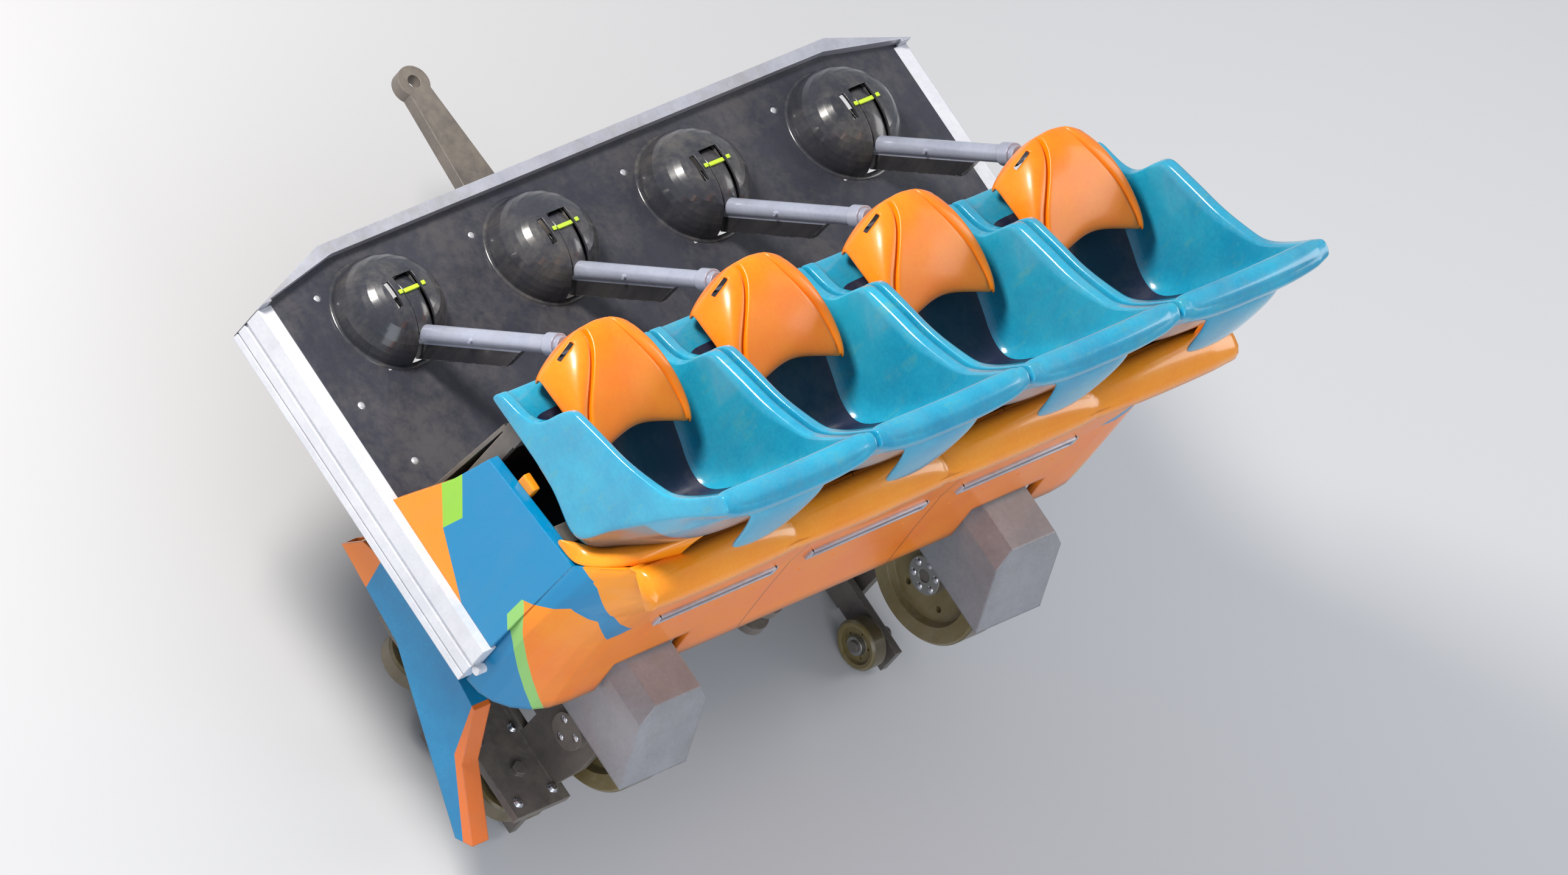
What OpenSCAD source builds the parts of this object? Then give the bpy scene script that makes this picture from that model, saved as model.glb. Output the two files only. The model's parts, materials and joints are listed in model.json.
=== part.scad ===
// One four-seat car of a steel-tube roller coaster train: sit-down seats in a row,
// lap bars pivoted in the floor, and a wheel carrier each side that wraps the rail.
// Every node is drawn in car coordinates: +X forward, +Y left, +Z up. The point
// (0, 0, 0) there is the middle of the car at the front end of the side sills, on
// top of the floor. place() then moves each node to the shared frame.

/* [Body] */
// Width of the floor over the side sills
body_w = 2480; // [2300:10:2600]
// How far the floor's front edge stands ahead of the side sills
nose_len = 92; // [60:1:120]
// Width of each front corner chamfer
nose_chamfer = 270; // [150:5:350]
// Length of a side sill
sill_len = 1125; // [900:5:1200]
// Height of a side sill
sill_h = 150; // [120:5:170]
// Thickness of a side sill
sill_t = 48; // [36:1:60]
// Thickness of sheet panels such as the floor
sheet_t = 12; // [8:1:16]
// Width of the light rim round the floor's front edge
rim_w = 35; // [20:1:50]
// Height the rim stands over the floor
rim_h = 30; // [15:1:45]
// Height of a floor hump over a lap bar pivot
hump_h = 150; // [135:1:165]
// Radius of a floor hump at the floor
hump_r = 165; // [155:1:175]

/* [Seats] */
// Spacing of the seats across the car
seat_pitch = 580; // [570:1:600]
// Width of one moulded seat
seat_w = 566; // [556:1:568]
// Thickness of the seat's side walls at the top edge
seat_wall = 26; // [20:1:32]
// Thickness of the tub's rear shell
tub_t = 22; // [16:1:30]
// Length of a drain slot behind a seat
slot_len = 430; // [300:5:450]

/* [Lap bars] */
// Lap bar lean when lowered, degrees back from upright
bar_lean = 35.2; // [33:0.1:38]
// Length from the pivot to the front of the pad
bar_len = 671; // [660:1:680]
// Diameter of the lap bar tube
bar_d = 50; // [44:1:54]
// Diameter of the lap bar pivot pin
pivot_d = 25; // [20:1:30]
// Clearance on the radius of the lap bar's bushed pivot
pivot_fit = 0.05; // [0.02:0.01:0.10]
// Clearance at each side of a lap bar in its slot
slot_gap = 9; // [6:1:14]

/* [Running gear] */
// Half the distance between the two rails' centre lines
half_gauge = 660; // [600:5:700]
// Diameter of the tubular rail that the carriers wrap
rail_d = 168; // [150:1:180]
// Depth of the rail's top below the floor
rail_drop = 633; // [620:1:650]
// Gap between each wheel and the rail
rail_gap = 3; // [2:0.5:6]
// Diameter of a road wheel
road_d = 410; // [380:2:414]
// Width of a road wheel's tyre
road_w = 110; // [90:1:116]
// Distance between the road wheels of a carrier
road_pitch = 450; // [440:5:470]
// Diameter of a guide wheel
guide_d = 190; // [160:2:196]
// Diameter of an upstop wheel
upstop_d = 150; // [130:2:160]
// Diameter of the wheel journals
journal_d = 40; // [30:1:44]
// Running clearance on the radius of a wheel journal
journal_fit = 0.05; // [0.02:0.01:0.10]
// Position of the carriers behind the front end of the sills
axle_back = 1075; // [1050:5:1100]

/* [Coupling] */
// Distance from one car to the next in the train
car_pitch = 1754; // [1740:1:1770]
// Position of the tongue's eye ahead of the sills' front end
eye_front = 550; // [530:5:570]
// Diameter of the coupling pin's bore
eye_bore = 40; // [30:1:44]
// Thickness of the tongue's eye
eye_t = 40; // [36:1:44]

/* [Output] */
// Which part to draw

/* [Hidden] */
$fn = 64;
seat_gap = 0.3;
half_w = body_w / 2;
front_half = half_w - nose_chamfer;
rail_z = -rail_drop - rail_d / 2;
road_z = -rail_drop + rail_gap + road_d / 2;
upstop_z = -rail_drop - rail_d - rail_gap - upstop_d / 2;
guide_y = half_gauge + rail_d / 2 + rail_gap + guide_d / 2;
gauge_out = half_gauge - 660;
ground_z = upstop_z - upstop_d / 2;
guide_pitch = road_pitch - 20;
upstop_pitch = road_pitch - 40;
seat_y = [1.5 * seat_pitch, 0.5 * seat_pitch, -0.5 * seat_pitch, -1.5 * seat_pitch];
pivot = [-180, -36];
clevis_x = eye_front - car_pitch;
coupling_z = -400;
front_x = eye_front + 50;
rear_x = -1530;
frame_shift = [-(front_x + rear_x) / 2, 0, -ground_z];
opening_half = 100;
shield_r = 136;
flank_in = 66;
flank_lean = 50 / 447;
flank_end = -1120;
ledge_z = 560;
ledge_front = -1236;

teal = [0.16, 0.62, 0.74];
orange = [0.94, 0.53, 0.18];
blue = [0.0, 0.54, 0.78];
dark = [0.25, 0.25, 0.29];
grey = [0.60, 0.60, 0.63];
white = [0.92, 0.93, 0.95];
steel = [0.70, 0.71, 0.74];
tyre_brown = [0.40, 0.36, 0.24];

// Moves car coordinates to the shared frame.
module place() {
    translate(frame_shift) children();
}

// Moves the wheel gear out with the rail gauge.
module with_gauge() {
    translate([0, gauge_out, 0]) children();
}

// A prism with its outline in the X-Z plane, from y0 to y1.
module side_prism(points, y0, y1) {
    translate([0, y1, 0]) rotate([90, 0, 0]) linear_extrude(height = y1 - y0) polygon(points);
}

// A round bar along Y.
module y_rod(x, z, y0, y1, d) {
    translate([x, y1, z]) rotate([90, 0, 0]) cylinder(h = y1 - y0, d = d);
}

// A box from its two corners.
module block(a, b) {
    translate(a) cube(b - a);
}

// Left or right half: side 1 is left, side -1 right.
module on_side(side) {
    if (side > 0) {
        children();
    } else {
        mirror([0, 1, 0]) children();
    }
}

// Plan of the floor, grown or shrunk by e on every side but the rear.
function floor_plan(e, rear) = [
    [rear, -half_w - e], [-e * 0.16, -half_w - e],
    [nose_len + e, -front_half - e * 0.84], [nose_len + e, front_half + e * 0.84],
    [-e * 0.16, half_w + e], [rear, half_w + e]
];

module floor_pan() {
    color(dark) place() difference() {
        union() {
            translate([0, 0, -sheet_t]) linear_extrude(height = sheet_t)
                polygon(floor_plan(-sill_t - seat_gap, flank_end + 2));
            difference() {
                translate([0, 0, -140]) linear_extrude(height = 140)
                    polygon(floor_plan(0, -2));
                translate([0, 0, -141]) linear_extrude(height = 142)
                    polygon(floor_plan(-52, -3));
            }
        }
        for (y = seat_y) {
            block([-300, y - opening_half, -60], [-55, y + opening_half, 10]);
            block([-322, y - bar_d / 2 - slot_gap, -60], [-290, y + bar_d / 2 + slot_gap, 10]);
        }
        for (y = seat_y) translate([-35, y + 172, -4]) cylinder(h = 10, d = 22);
    }
}

module floor_rim() {
    color(steel) place() difference() {
        linear_extrude(height = rim_h) polygon(floor_plan(0, -2));
        translate([0, 0, -1]) linear_extrude(height = rim_h + 2)
            polygon(floor_plan(-rim_w, -10));
    }
}

module side_sills() {
    color(white) place() for (side = [1, -1]) on_side(side) difference() {
        union() {
            block([-sill_len, half_w - sill_t, -sill_h], [-2 - seat_gap, half_w, 0]);
            y_rod(-sill_len - 16, -80, half_w - 40, half_w - 8, 26);
            block([-sill_len - 20, half_w - 34, -88], [-sill_len + 5, half_w - 14, -72]);
        }
        block([-sill_len - 60, half_w - 8, -82], [5, half_w + 5, -66]);
        block([-sill_len - 60, half_w - 5, -126], [5, half_w + 5, -118]);
    }
}

// Height of a dome's profile at the radius r.
function dome_z(r) = hump_h * pow(1 - pow(r / hump_r, 2.4), 0.5);

module hump_shell() {
    steps = [for (i = [0 : 12]) i / 12];
    outer = [for (s = steps) [hump_r * sin(90 * s), dome_z(hump_r * sin(90 * s))]];
    inner = [for (s = steps) [(hump_r - 8) * sin(90 * s), dome_z(hump_r * sin(90 * s)) * 0.945]];
    rotate_extrude() polygon(concat(outer, [for (i = [12 : -1 : 0]) inner[i]]));
}

module humps() {
    half_slot = bar_d / 2 + slot_gap;
    color(dark) place() for (y = seat_y) translate([-150, y, 0]) difference() {
        hump_shell();
        block([-200, -half_slot, -5], [45, half_slot, 200]);
        block([-40, half_slot + 18, 60], [40, half_slot + 34, 200]);
    }
}

module pivot_brackets() {
    lug_in = bar_d / 2 + 8;
    color(grey) place() for (y = seat_y) translate([0, y, 0]) {
        for (s = [1, -1]) on_side(s) {
            block([pivot[0] - 28, lug_in, -120], [pivot[0] + 28, lug_in + 14, pivot[1]]);
            y_rod(pivot[0], pivot[1], lug_in, lug_in + 14, 56);
        }
        block([pivot[0] - 60, -60, -120], [pivot[0] + 60, 60, -106]);
        y_rod(pivot[0], pivot[1], -lug_in - 20, lug_in + 20, pivot_d);
    }
}

module cross_frame() {
    color(grey) place() {
        for (x = [-180, -560]) block([x - 35, 90 - half_w, -170], [x + 35, half_w - 90, -120]);
        for (s = [1, -1]) on_side(s) {
            with_gauge() block([-1236, 420, -120], [-20, 500, -sheet_t]);
            block([-595, half_w - 180, -120], [-20, half_w - 100, -sheet_t]);
            with_gauge() block([-axle_back - 50, 420, -170], [-axle_back + 50, 460, -120]);
        }
        block([-1236, 320 - half_w, -66], [-1176, half_w - 320, -sheet_t]);
    }
}

module chassis_spine() {
    color(grey) place() {
        difference() {
            block([-axle_back + 60, -60, -480], [200, 60, -320]);
            block([-axle_back + 59, -50, -470], [188, 50, -330]);
        }
        for (x = [-180, -560]) block([x - 50, -60, -320], [x + 50, 60, -170]);
        difference() {
            union() {
                translate([0, 0, coupling_z - eye_t / 2]) linear_extrude(height = eye_t)
                    polygon([[200, -60], [eye_front, -36], [eye_front, 36], [200, 60]]);
                translate([eye_front, 0, coupling_z - eye_t / 2]) cylinder(h = eye_t, d = 100);
            }
            translate([eye_front, 0, coupling_z - 60]) cylinder(h = 120, d = eye_bore);
        }
    }
}

module axle_beam() {
    plates = [coupling_z - 60, coupling_z + 30];
    color(grey) place() {
        block([-axle_back - 60, -100, -480], [-axle_back + 60, 100, -170]);
        y_rod(-axle_back, -222, -460 - gauge_out, 460 + gauge_out, 104);
        for (s = [1, -1]) on_side(s) with_gauge()
            block([-axle_back - 55, 400, -270], [-axle_back + 55, 460, -170]);
        difference() {
            union() for (z = plates) {
                block([clevis_x, -50, z], [-axle_back - 60, 50, z + 30]);
                translate([clevis_x, 0, z]) cylinder(h = 30, d = 100);
            }
            translate([clevis_x, 0, coupling_z - 90]) cylinder(h = 180, d = eye_bore);
        }
    }
}

module brake_fin() {
    color(steel) place() difference() {
        side_prism([[-1000, -480], [-120, -480], [-120, -900], [-170, ground_z],
            [-960, ground_z], [-1000, ground_z + 40]], -8, 8);
        for (x = [-900, -560, -220]) y_rod(x, -520, -20, 20, 22);
    }
}

module knuckle() {
    difference() {
        union() {
            translate([-axle_back, 508, -310]) cylinder(h = 172, d = 92);
            block([-axle_back - 58, 460, -270], [-axle_back + 58, 556, -170]);
        }
        translate([-axle_back, 508, -330]) cylinder(h = 220, d = 36);
        for (z = [-262, -198]) block([-axle_back - 70, 476, z], [-axle_back - 44, 540, z + 20]);
    }
    translate([-axle_back, 508, -318]) cylinder(h = 190, d = 36);
    translate([-axle_back, 508, -330]) cylinder(h = 20, d = 58);
    translate([-axle_back, 508, -138]) cylinder(h = 14, d = 58);
}

module knuckle_left() {
    color(grey) place() with_gauge() knuckle();
}

module knuckle_right() {
    color(grey) place() on_side(-1) with_gauge() knuckle();
}

// The side plate that carries the road axles.
module carrier_plate() {
    c = -axle_back;
    side_prism([[c - 320, -500], [c - 320, -380], [c - 230, -320], [c - 90, -230],
        [c - 70, -170], [c + 70, -170], [c + 90, -230], [c + 230, -320],
        [c + 320, -380], [c + 320, -500], [c + 290, -640], [c - 290, -640]], 738, 764);
}

module carrier() {
    c = -axle_back;
    difference() {
        union() {
            carrier_plate();
            block([c - 60, 556, -270], [c + 60, 764, -170]);
            for (x = [c - 45, c + 25]) block([x, 650, -171], [x + 20, 700, -86 - seat_gap]);
            block([c - 341, 738, -645], [c + 341, 938, -620]);
            block([c - 20, 938, -640], [c + 20, 1000, -620]);
            block([c - 110, 938, -640], [c - 70, 1000, -620]);
            block([c - 70, 768, -935], [c + 70, 800, -621]);
            block([c - 70, 706, -935], [c + 70, 800, -908]);
            block([c - 285, 706, -930], [c + 285, 730, -838]);
            for (s = [-1, 1]) {
                y_rod(c + s * road_pitch / 2, road_z, 715, 790, 110);
                y_rod(c + s * road_pitch / 2, road_z, 590, 740, journal_d);
                translate([c + s * guide_pitch / 2, guide_y - gauge_out, -780]) cylinder(h = 150, d = journal_d);
                translate([c + s * guide_pitch / 2, guide_y - gauge_out, -675]) cylinder(h = 40, d = 76);
                translate([c + s * guide_pitch / 2, guide_y - gauge_out, -620]) cylinder(h = 14, d = 44, $fn = 6);
                y_rod(c + s * upstop_pitch / 2, upstop_z, 622, 760, 34);
                y_rod(c + s * upstop_pitch / 2, upstop_z, 696, 710, 62);
            }
        }
        block([c - 120, 700, -600], [c + 120, 780, -520]);
        y_rod(c, -330, 700, 800, 90);
    }
}

module carrier_left() {
    color(grey) place() with_gauge() carrier();
}

module carrier_right() {
    color(grey) place() on_side(-1) with_gauge() carrier();
}

// Outline of the wheel housing seen from the side, shrunk by e.
function housing_side(e) = [
    [-1530 + e * 1.1, -350 - e], [-1430 + e * 0.7, -80 - e],
    [-720 - e * 0.7, -80 - e], [-620 - e * 1.1, -350 - e]
];

// Outline of the wheel housing seen from the end, shrunk by e.
function housing_end(e) = [
    [560 + e, -360], [560 + e, -135 - e * 0.4], [600 + e * 0.4, -80 - e],
    [770 - e * 0.4, -80 - e], [812 - e, -135 - e * 0.4], [812 - e, -360]
];

module housing_solid(e) {
    intersection() {
        side_prism(housing_side(e), 500, 900);
        rotate([90, 0, 90]) translate([0, 0, -1600]) linear_extrude(height = 1100)
            polygon(housing_end(e));
    }
}

module wheel_housing() {
    difference() {
        housing_solid(0);
        housing_solid(6);
        block([-axle_back - 66, 500, -380], [-axle_back + 66, 640, -160]);
    }
}

module wheel_housing_left() {
    color(grey) place() with_gauge() wheel_housing();
}

module wheel_housing_right() {
    color(grey) place() on_side(-1) with_gauge() wheel_housing();
}

// The side fin outside the guide wheels, with an open nose.
module fairing() {
    outline = [[-560, -455], [-600, -375], [-760, -315], [-1158, -375], [-1238, -545],
        [-1416, -695], [-1363, -735], [-865, -490]];
    inner = [[-540, -448], [-588, -392], [-760, -330], [-1140, -388], [-1215, -555],
        [-1320, -650], [-1350, -712], [-860, -475]];
    difference() {
        side_prism(outline, 1000, 1062);
        side_prism(inner, 1010, 1052);
    }
}

module fairing_left() {
    color(blue) place() with_gauge() fairing();
}

module fairing_right() {
    color(blue) place() on_side(-1) with_gauge() fairing();
}

// Plans of the rear shell from its bottom edge up. Each row is the height, the
// half-width at the side walls, the rear wall's x and the corner's width.
shell_rows = [
    [-190, half_w - 60, -1290, 250], [0, half_w - 50, -1278, 250],
    [150, half_w - 50, -1272, 250], [300, half_w - 64, -1282, 240],
    [430, half_w - 78, -1314, 210], [520, half_w - 88, -1340, 170],
    [ledge_z, half_w - 92, -1347, 150]
];

// One closed ring of the shell, inset by e, with its open front moved by ahead.
function shell_ring(row, e, ahead) = let (
    depth = flank_end - 4 - row[2],
    arc = [
        for (a = [0 : 15 : 90])
            [row[2] + depth - (depth - e) * sin(a), row[1] - row[3] + (row[3] - e) * cos(a)]
    ],
    n = len(arc)
) concat(
    [[flank_end + ahead, row[1] - e, row[0]]],
    [for (p = arc) [p[0], p[1], row[0]]],
    [for (i = [n - 1 : -1 : 0]) [arc[i][0], -arc[i][1], row[0]]],
    [[flank_end + ahead, -(row[1] - e), row[0]]]
);

// The same rows with the first and last moved, for the hollow inside.
function hollow_row(i) = let (row = shell_rows[i], n = len(shell_rows) - 1)
    [i == 0 ? row[0] - 5 : i == n ? row[0] - tub_t : row[0], row[1], row[2], row[3]];

module tub() {
    n = len(shell_rows) - 1;
    color(orange) place() difference() {
        union() {
            difference() {
                lofted([for (i = [n : -1 : 0]) shell_ring(shell_rows[i], 0, 0)]);
                lofted([for (i = [n : -1 : 0]) shell_ring(hollow_row(i), tub_t, 5)]);
                side_prism([[flank_end + 20, 384], [ledge_front + 14, 541], [ledge_front, 575],
                    [ledge_front, 700], [flank_end + 20, 700]], -half_w, half_w);
            }
            for (s = [1, -1]) on_side(s)
                block([-1262, 60, seat_gap - sheet_t], [-1240 + 50, 270, 8]);
        }
        for (i = [-1, 0, 1]) block([-1320, i * seat_pitch - slot_len / 2, 140],
            [-1225, i * seat_pitch + slot_len / 2, 166]);
        for (s = [1, -1]) on_side(s) with_gauge()
            block([-1400, 545, -200], [-1200, 827, -62]);
    }
}

// Outline of a side wall seen from the side.
flank_outline = [
    [-636, seat_gap], [-713, 218], [-745, 370], [-1090, 405], [flank_end + seat_gap, 406],
    [flank_end + seat_gap, seat_gap]
];

// Leans its children in towards the centre line as they rise.
module leaning() {
    multmatrix([[1, 0, 0, 0], [0, 1, -flank_lean, 0], [0, 0, 1, 0], [0, 0, 0, 1]]) children();
}

// A side wall that leans in towards its top edge.
module flank() {
    leaning() difference() {
        side_prism(flank_outline, half_w - flank_in, half_w - 30);
        side_prism([[-690, 60], [-770, 330], [-1090, 365], [-1090, 60]],
            half_w - 70, half_w - 48);
    }
}

module flank_left() {
    color(blue) place() flank();
}

module flank_right() {
    color(blue) place() on_side(-1) flank();
}

// Beams, posts and the heel panel that carry the four seats.
module seat_frame() {
    beam_y = half_w - 124;
    rear_y = half_w - 210;
    color(dark) place() {
        block([-760, -beam_y, 420], [-700, beam_y, 470 - seat_gap]);
        block([-1050, -beam_y, 330], [-990, beam_y, 382]);
        block([-1226, -rear_y, 400], [-1190, rear_y, 440]);
        for (y = [-beam_y + 12, -2 * seat_pitch / 2, 0, 2 * seat_pitch / 2, beam_y - 12]) {
            block([-755, y - 12, 0], [-705, y + 12, 421]);
            block([-1045, y - 12, 0], [-995, y + 12, 331]);
        }
        for (y = [-1.5 * seat_pitch, -0.5 * seat_pitch, 0.5 * seat_pitch, 1.5 * seat_pitch])
            block([-1224, y - 12, seat_gap - sheet_t], [-1192, y + 12, 401]);
        side_prism([[-668, 0], [-656, 0], [-692, 440], [-704, 440]], -beam_y, beam_y);
    }
}

// Seat stations, front lip to back top. Each names a point on the pan (x, z), a
// point on the side wall's top edge (x, z), the drop of the outer side below the
// pan point, the shell's depth below the pan and the pommel's height.
seat_rows = [
    [-630, 508, -630, 524, 8, 28, 8], [-645, 522, -645, 540, 22, 46, 18],
    [-700, 524, -702, 550, 22, 54, 26], [-775, 512, -778, 580, 8, 42, 28],
    [-803, 505, -796, 690, 2, 35, 28], [-825, 498, -816, 737, -6, 28, 28],
    [-865, 486, -850, 748, -18, 30, 26], [-940, 458, -905, 764, -44, 30, 20],
    [-1000, 432, -945, 776, -50, 34, 12], [-1070, 428, -985, 786, -30, 40, 6],
    [-1110, 470, -1018, 796, -50, 60, 2], [-1140, 540, -1052, 808, -66, 62, 0],
    [-1170, 620, -1090, 824, -55, 80, 0], [-1200, 710, -1132, 843, -38, 88, 0],
    [-1230, 800, -1174, 864, -22, 84, 0], [-1258, 880, -1216, 922, -10, 74, 0],
    [-1285, 965, -1252, 988, 12, 62, 0], [-1308, 1032, -1280, 1048, 26, 56, 0],
    [-1318, 1052, -1296, 1062, 20, 44, 0]
];

// Inner face across a seat: half-width as a share, height share and pommel share.
seat_inner = [
    [1.0, 0.94, 0], [0.985, 1.0, 0], [0.885, 0.98, 0], [0.865, 0.56, 0], [0.84, 0.20, 0],
    [0.76, 0.04, 0], [0.52, 0, 0.03], [0.24, 0, 0.34], [0.10, 0, 0.88]
];

// Outer face across a seat: half-width as a share and depth share.
seat_outer = [[1.0, 0], [0.86, 0.5], [0.68, 0.86], [0.42, 1.0]];

// One closed ring of points across the seat at a station.
function seat_ring(row) = let (
    p = [row[0], row[1]],
    span = [row[2], row[3]] - p,
    rise = norm(span),
    dir = span / rise,
    half = seat_w / 2,
    at = function (share, h) [p[0] + dir[0] * h, share * half, p[1] + dir[1] * h],
    top_in = [for (c = seat_inner) [c[0], c[1] * rise + c[2] * row[6]]],
    low = [for (c = seat_outer) [c[0], -row[4] - (row[5] - row[4]) * c[1]]]
) concat(
    [for (c = top_in) at(c[0], c[1])],
    [at(0, row[6])],
    [for (i = [len(top_in) - 1 : -1 : 0]) at(-top_in[i][0], top_in[i][1])],
    [for (c = low) at(-c[0], c[1])],
    [for (i = [len(low) - 1 : -1 : 0]) at(low[i][0], low[i][1])]
);

module lofted(rings) {
    n = len(rings[0]);
    m = len(rings);
    sides = [
        for (i = [0 : m - 2]) for (j = [0 : n - 1])
        for (t = [0, 1])
        t == 0
            ? [i * n + j, i * n + (j + 1) % n, (i + 1) * n + j]
            : [i * n + (j + 1) % n, (i + 1) * n + (j + 1) % n, (i + 1) * n + j]
    ];
    first = [for (j = [n - 1 : -1 : 0]) j];
    last = [for (j = [0 : n - 1]) (m - 1) * n + j];
    polyhedron(points = [for (r = rings) for (p = r) p], faces = concat([first], sides, [last]));
}

// Seat number 1 is the leftmost.
module seat(number) {
    color(teal) place() translate([0, seat_y[number - 1], 0]) {
        lofted([for (row = seat_rows) seat_ring(row)]);
        side_prism([[-1322, 985], [-1358, 1000], [-1366, 930], [-1352, 724], [-1338, 716],
            [-1334, 800], [-1318, 900]], -105, 105);
    }
}

module seat_1() {
    seat(1);
}

module seat_2() {
    seat(2);
}

module seat_3() {
    seat(3);
}

module seat_4() {
    seat(4);
}

// A lap bar's own axes: the pivot at the origin and the bar along +Z.
module bar_axes(number) {
    place() translate([pivot[0], seat_y[number - 1], pivot[1]])
        rotate([0, -bar_lean, 0]) children();
}

// A curved shield ahead of the bar's foot that closes the slot in the floor hump.
module slot_shield() {
    outer = [for (a = [-6 : 7 : 50]) [shield_r * sin(a), shield_r * cos(a)]];
    inner = [for (a = [50 : -7 : -6]) [(shield_r - 8) * sin(a), (shield_r - 8) * cos(a)]];
    side_prism(concat(outer, inner), -26, 26);
}

module lap_arm(number) {
    guard_d = 70;
    color(steel) bar_axes(number) difference() {
        union() {
            cylinder(h = bar_len + 30, d = bar_d);
            translate([0, bar_d / 2 - 2, 0]) rotate([90, 0, 0]) cylinder(h = bar_d - 4, d = 62);
            slot_shield();
            block([-guard_d, -13, 112], [-10, 13, 470]);
            side_prism([[-guard_d, 469], [-10, 560], [-10, 469]], -13, 13);
            translate([0, 0, 360]) rotate([0, 90, 90]) cylinder(h = 66, d = 14, center = true);
            translate([0, 0, bar_len - 26]) cylinder(h = 40, d = bar_d + 16);
        }
        translate([0, 60, 0]) rotate([90, 0, 0]) cylinder(h = 120, d = pivot_d + 2 * pivot_fit);
    }
}

module lap_arm_1() {
    lap_arm(1);
}

module lap_arm_2() {
    lap_arm(2);
}

module lap_arm_3() {
    lap_arm(3);
}

module lap_arm_4() {
    lap_arm(4);
}

// Corners of the pad's shell: x, half-width, z and rounding.
pad_corners = [
    [-590, 48, 530, 24], [-618, 46, 674, 26], [-690, 34, 716, 28], [-752, 28, 724, 28],
    [-676, 176, 612, 26], [-720, 176, 592, 26], [-944, 172, 540, 22], [-850, 158, 604, 24]
];

module lap_pad(number) {
    x = pivot[0];
    color(orange) place() translate([0, seat_y[number - 1], 0]) difference() {
        hull() for (c = pad_corners) for (s = [1, -1])
            translate([c[0], s * c[1], c[2]]) sphere(r = c[3], $fn = 20);
        y_rod(-745, 280, -300, 300, 600);
        translate([-1129, 0, 400]) cylinder(h = 300, r = 246);
        for (s = [1, -1]) translate([-752, s * 142, 560]) rotate([-s * 38, 0, s * 8])
            translate([-52, -17, 0]) cube([104, 34, 220]);
        translate([x, 0, pivot[1]]) rotate([0, -bar_lean, 0]) {
            cylinder(h = bar_len + 30.2, d = bar_d + 0.4);
            translate([0, 0, bar_len - 60]) cylinder(h = 74.2, d = bar_d + 16.4);
            block([-80, -16, 300], [-8, 16, 565]);
        }
    }
}

module lap_pad_1() {
    lap_pad(1);
}

module lap_pad_2() {
    lap_pad(2);
}

module lap_pad_3() {
    lap_pad(3);
}

module lap_pad_4() {
    lap_pad(4);
}

// Half-section of a wheel: bore radius, outer radius, width, hub radius and hub width.
function wheel_section(bore, r, w, hub_r, hub_w) = [
    [bore, -hub_w / 2], [hub_r, -hub_w / 2], [hub_r + 4, -w / 4], [r * 0.70, -w / 4],
    [r * 0.74, -w * 0.46], [r - 8, -w / 2], [r, -w / 2 + 8],
    [r, w / 2 - 8], [r - 8, w / 2], [r * 0.74, w * 0.46],
    [r * 0.70, w / 4], [hub_r + 4, w / 4], [hub_r, hub_w / 2], [bore, hub_w / 2]
];

module wheel(bore, d, w, hub_r, hub_w) {
    difference() {
        rotate_extrude($fn = 96) polygon(wheel_section(bore, d / 2, w, hub_r, hub_w));
        for (a = [0 : 72 : 359]) rotate(a) translate([d * 0.26, 0, -w]) cylinder(h = 2 * w, d = d * 0.05);
    }
}

// Road wheel of a carrier: end 1 is the front one, end -1 the rear one.
module road_wheel(side, end) {
    color(tyre_brown) place() on_side(side)
        translate([-axle_back + end * road_pitch / 2, half_gauge - 15, road_z]) rotate([90, 0, 0])
            wheel(journal_d / 2 + journal_fit, road_d, road_w, 57, road_w + 6);
}

module guide_wheel(side, end) {
    color(tyre_brown) place() on_side(side)
        translate([-axle_back + end * guide_pitch / 2, guide_y, rail_z])
            wheel(journal_d / 2 + journal_fit, guide_d, 62, 34, 70);
}

module upstop_wheel(side, end) {
    color(tyre_brown) place() on_side(side)
        translate([-axle_back + end * upstop_pitch / 2, half_gauge, upstop_z]) rotate([90, 0, 0])
            wheel(17 + journal_fit, upstop_d, 56, 28, 60);
}

module road_wheel_left_front() {
    road_wheel(1, 1);
}

module road_wheel_left_rear() {
    road_wheel(1, -1);
}

module road_wheel_right_front() {
    road_wheel(-1, 1);
}

module road_wheel_right_rear() {
    road_wheel(-1, -1);
}

module guide_wheel_left_front() {
    guide_wheel(1, 1);
}

module guide_wheel_left_rear() {
    guide_wheel(1, -1);
}

module guide_wheel_right_front() {
    guide_wheel(-1, 1);
}

module guide_wheel_right_rear() {
    guide_wheel(-1, -1);
}

module upstop_wheel_left_front() {
    upstop_wheel(1, 1);
}

module upstop_wheel_left_rear() {
    upstop_wheel(1, -1);
}

module upstop_wheel_right_front() {
    upstop_wheel(-1, 1);
}

module upstop_wheel_right_rear() {
    upstop_wheel(-1, -1);
}

chassis_spine();
cross_frame();
axle_beam();
brake_fin();
knuckle_left();
knuckle_right();
carrier_left();
carrier_right();
wheel_housing_left();
wheel_housing_right();
fairing_left();
fairing_right();
floor_pan();
floor_rim();
side_sills();
humps();
pivot_brackets();
tub();
flank_left();
flank_right();
seat_frame();
seat_1();
seat_2();
seat_3();
seat_4();
lap_arm_1();
lap_arm_2();
lap_arm_3();
lap_arm_4();
lap_pad_1();
lap_pad_2();
lap_pad_3();
lap_pad_4();
road_wheel_left_front();
road_wheel_left_rear();
road_wheel_right_front();
road_wheel_right_rear();
guide_wheel_left_front();
guide_wheel_left_rear();
guide_wheel_right_front();
guide_wheel_right_rear();
upstop_wheel_left_front();
upstop_wheel_left_rear();
upstop_wheel_right_front();
upstop_wheel_right_rear();
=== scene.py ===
"""The script loads the CAD frame, gives every carried-over node a procedural
material, replaces the moulded shells with smooth ones built on the same
dimensions, adds small fittings, and sets the photograph's viewing direction.
Car coordinates are metres ahead of the sills' front end, left of the centre
line and over the floor.
"""

from __future__ import annotations

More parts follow.
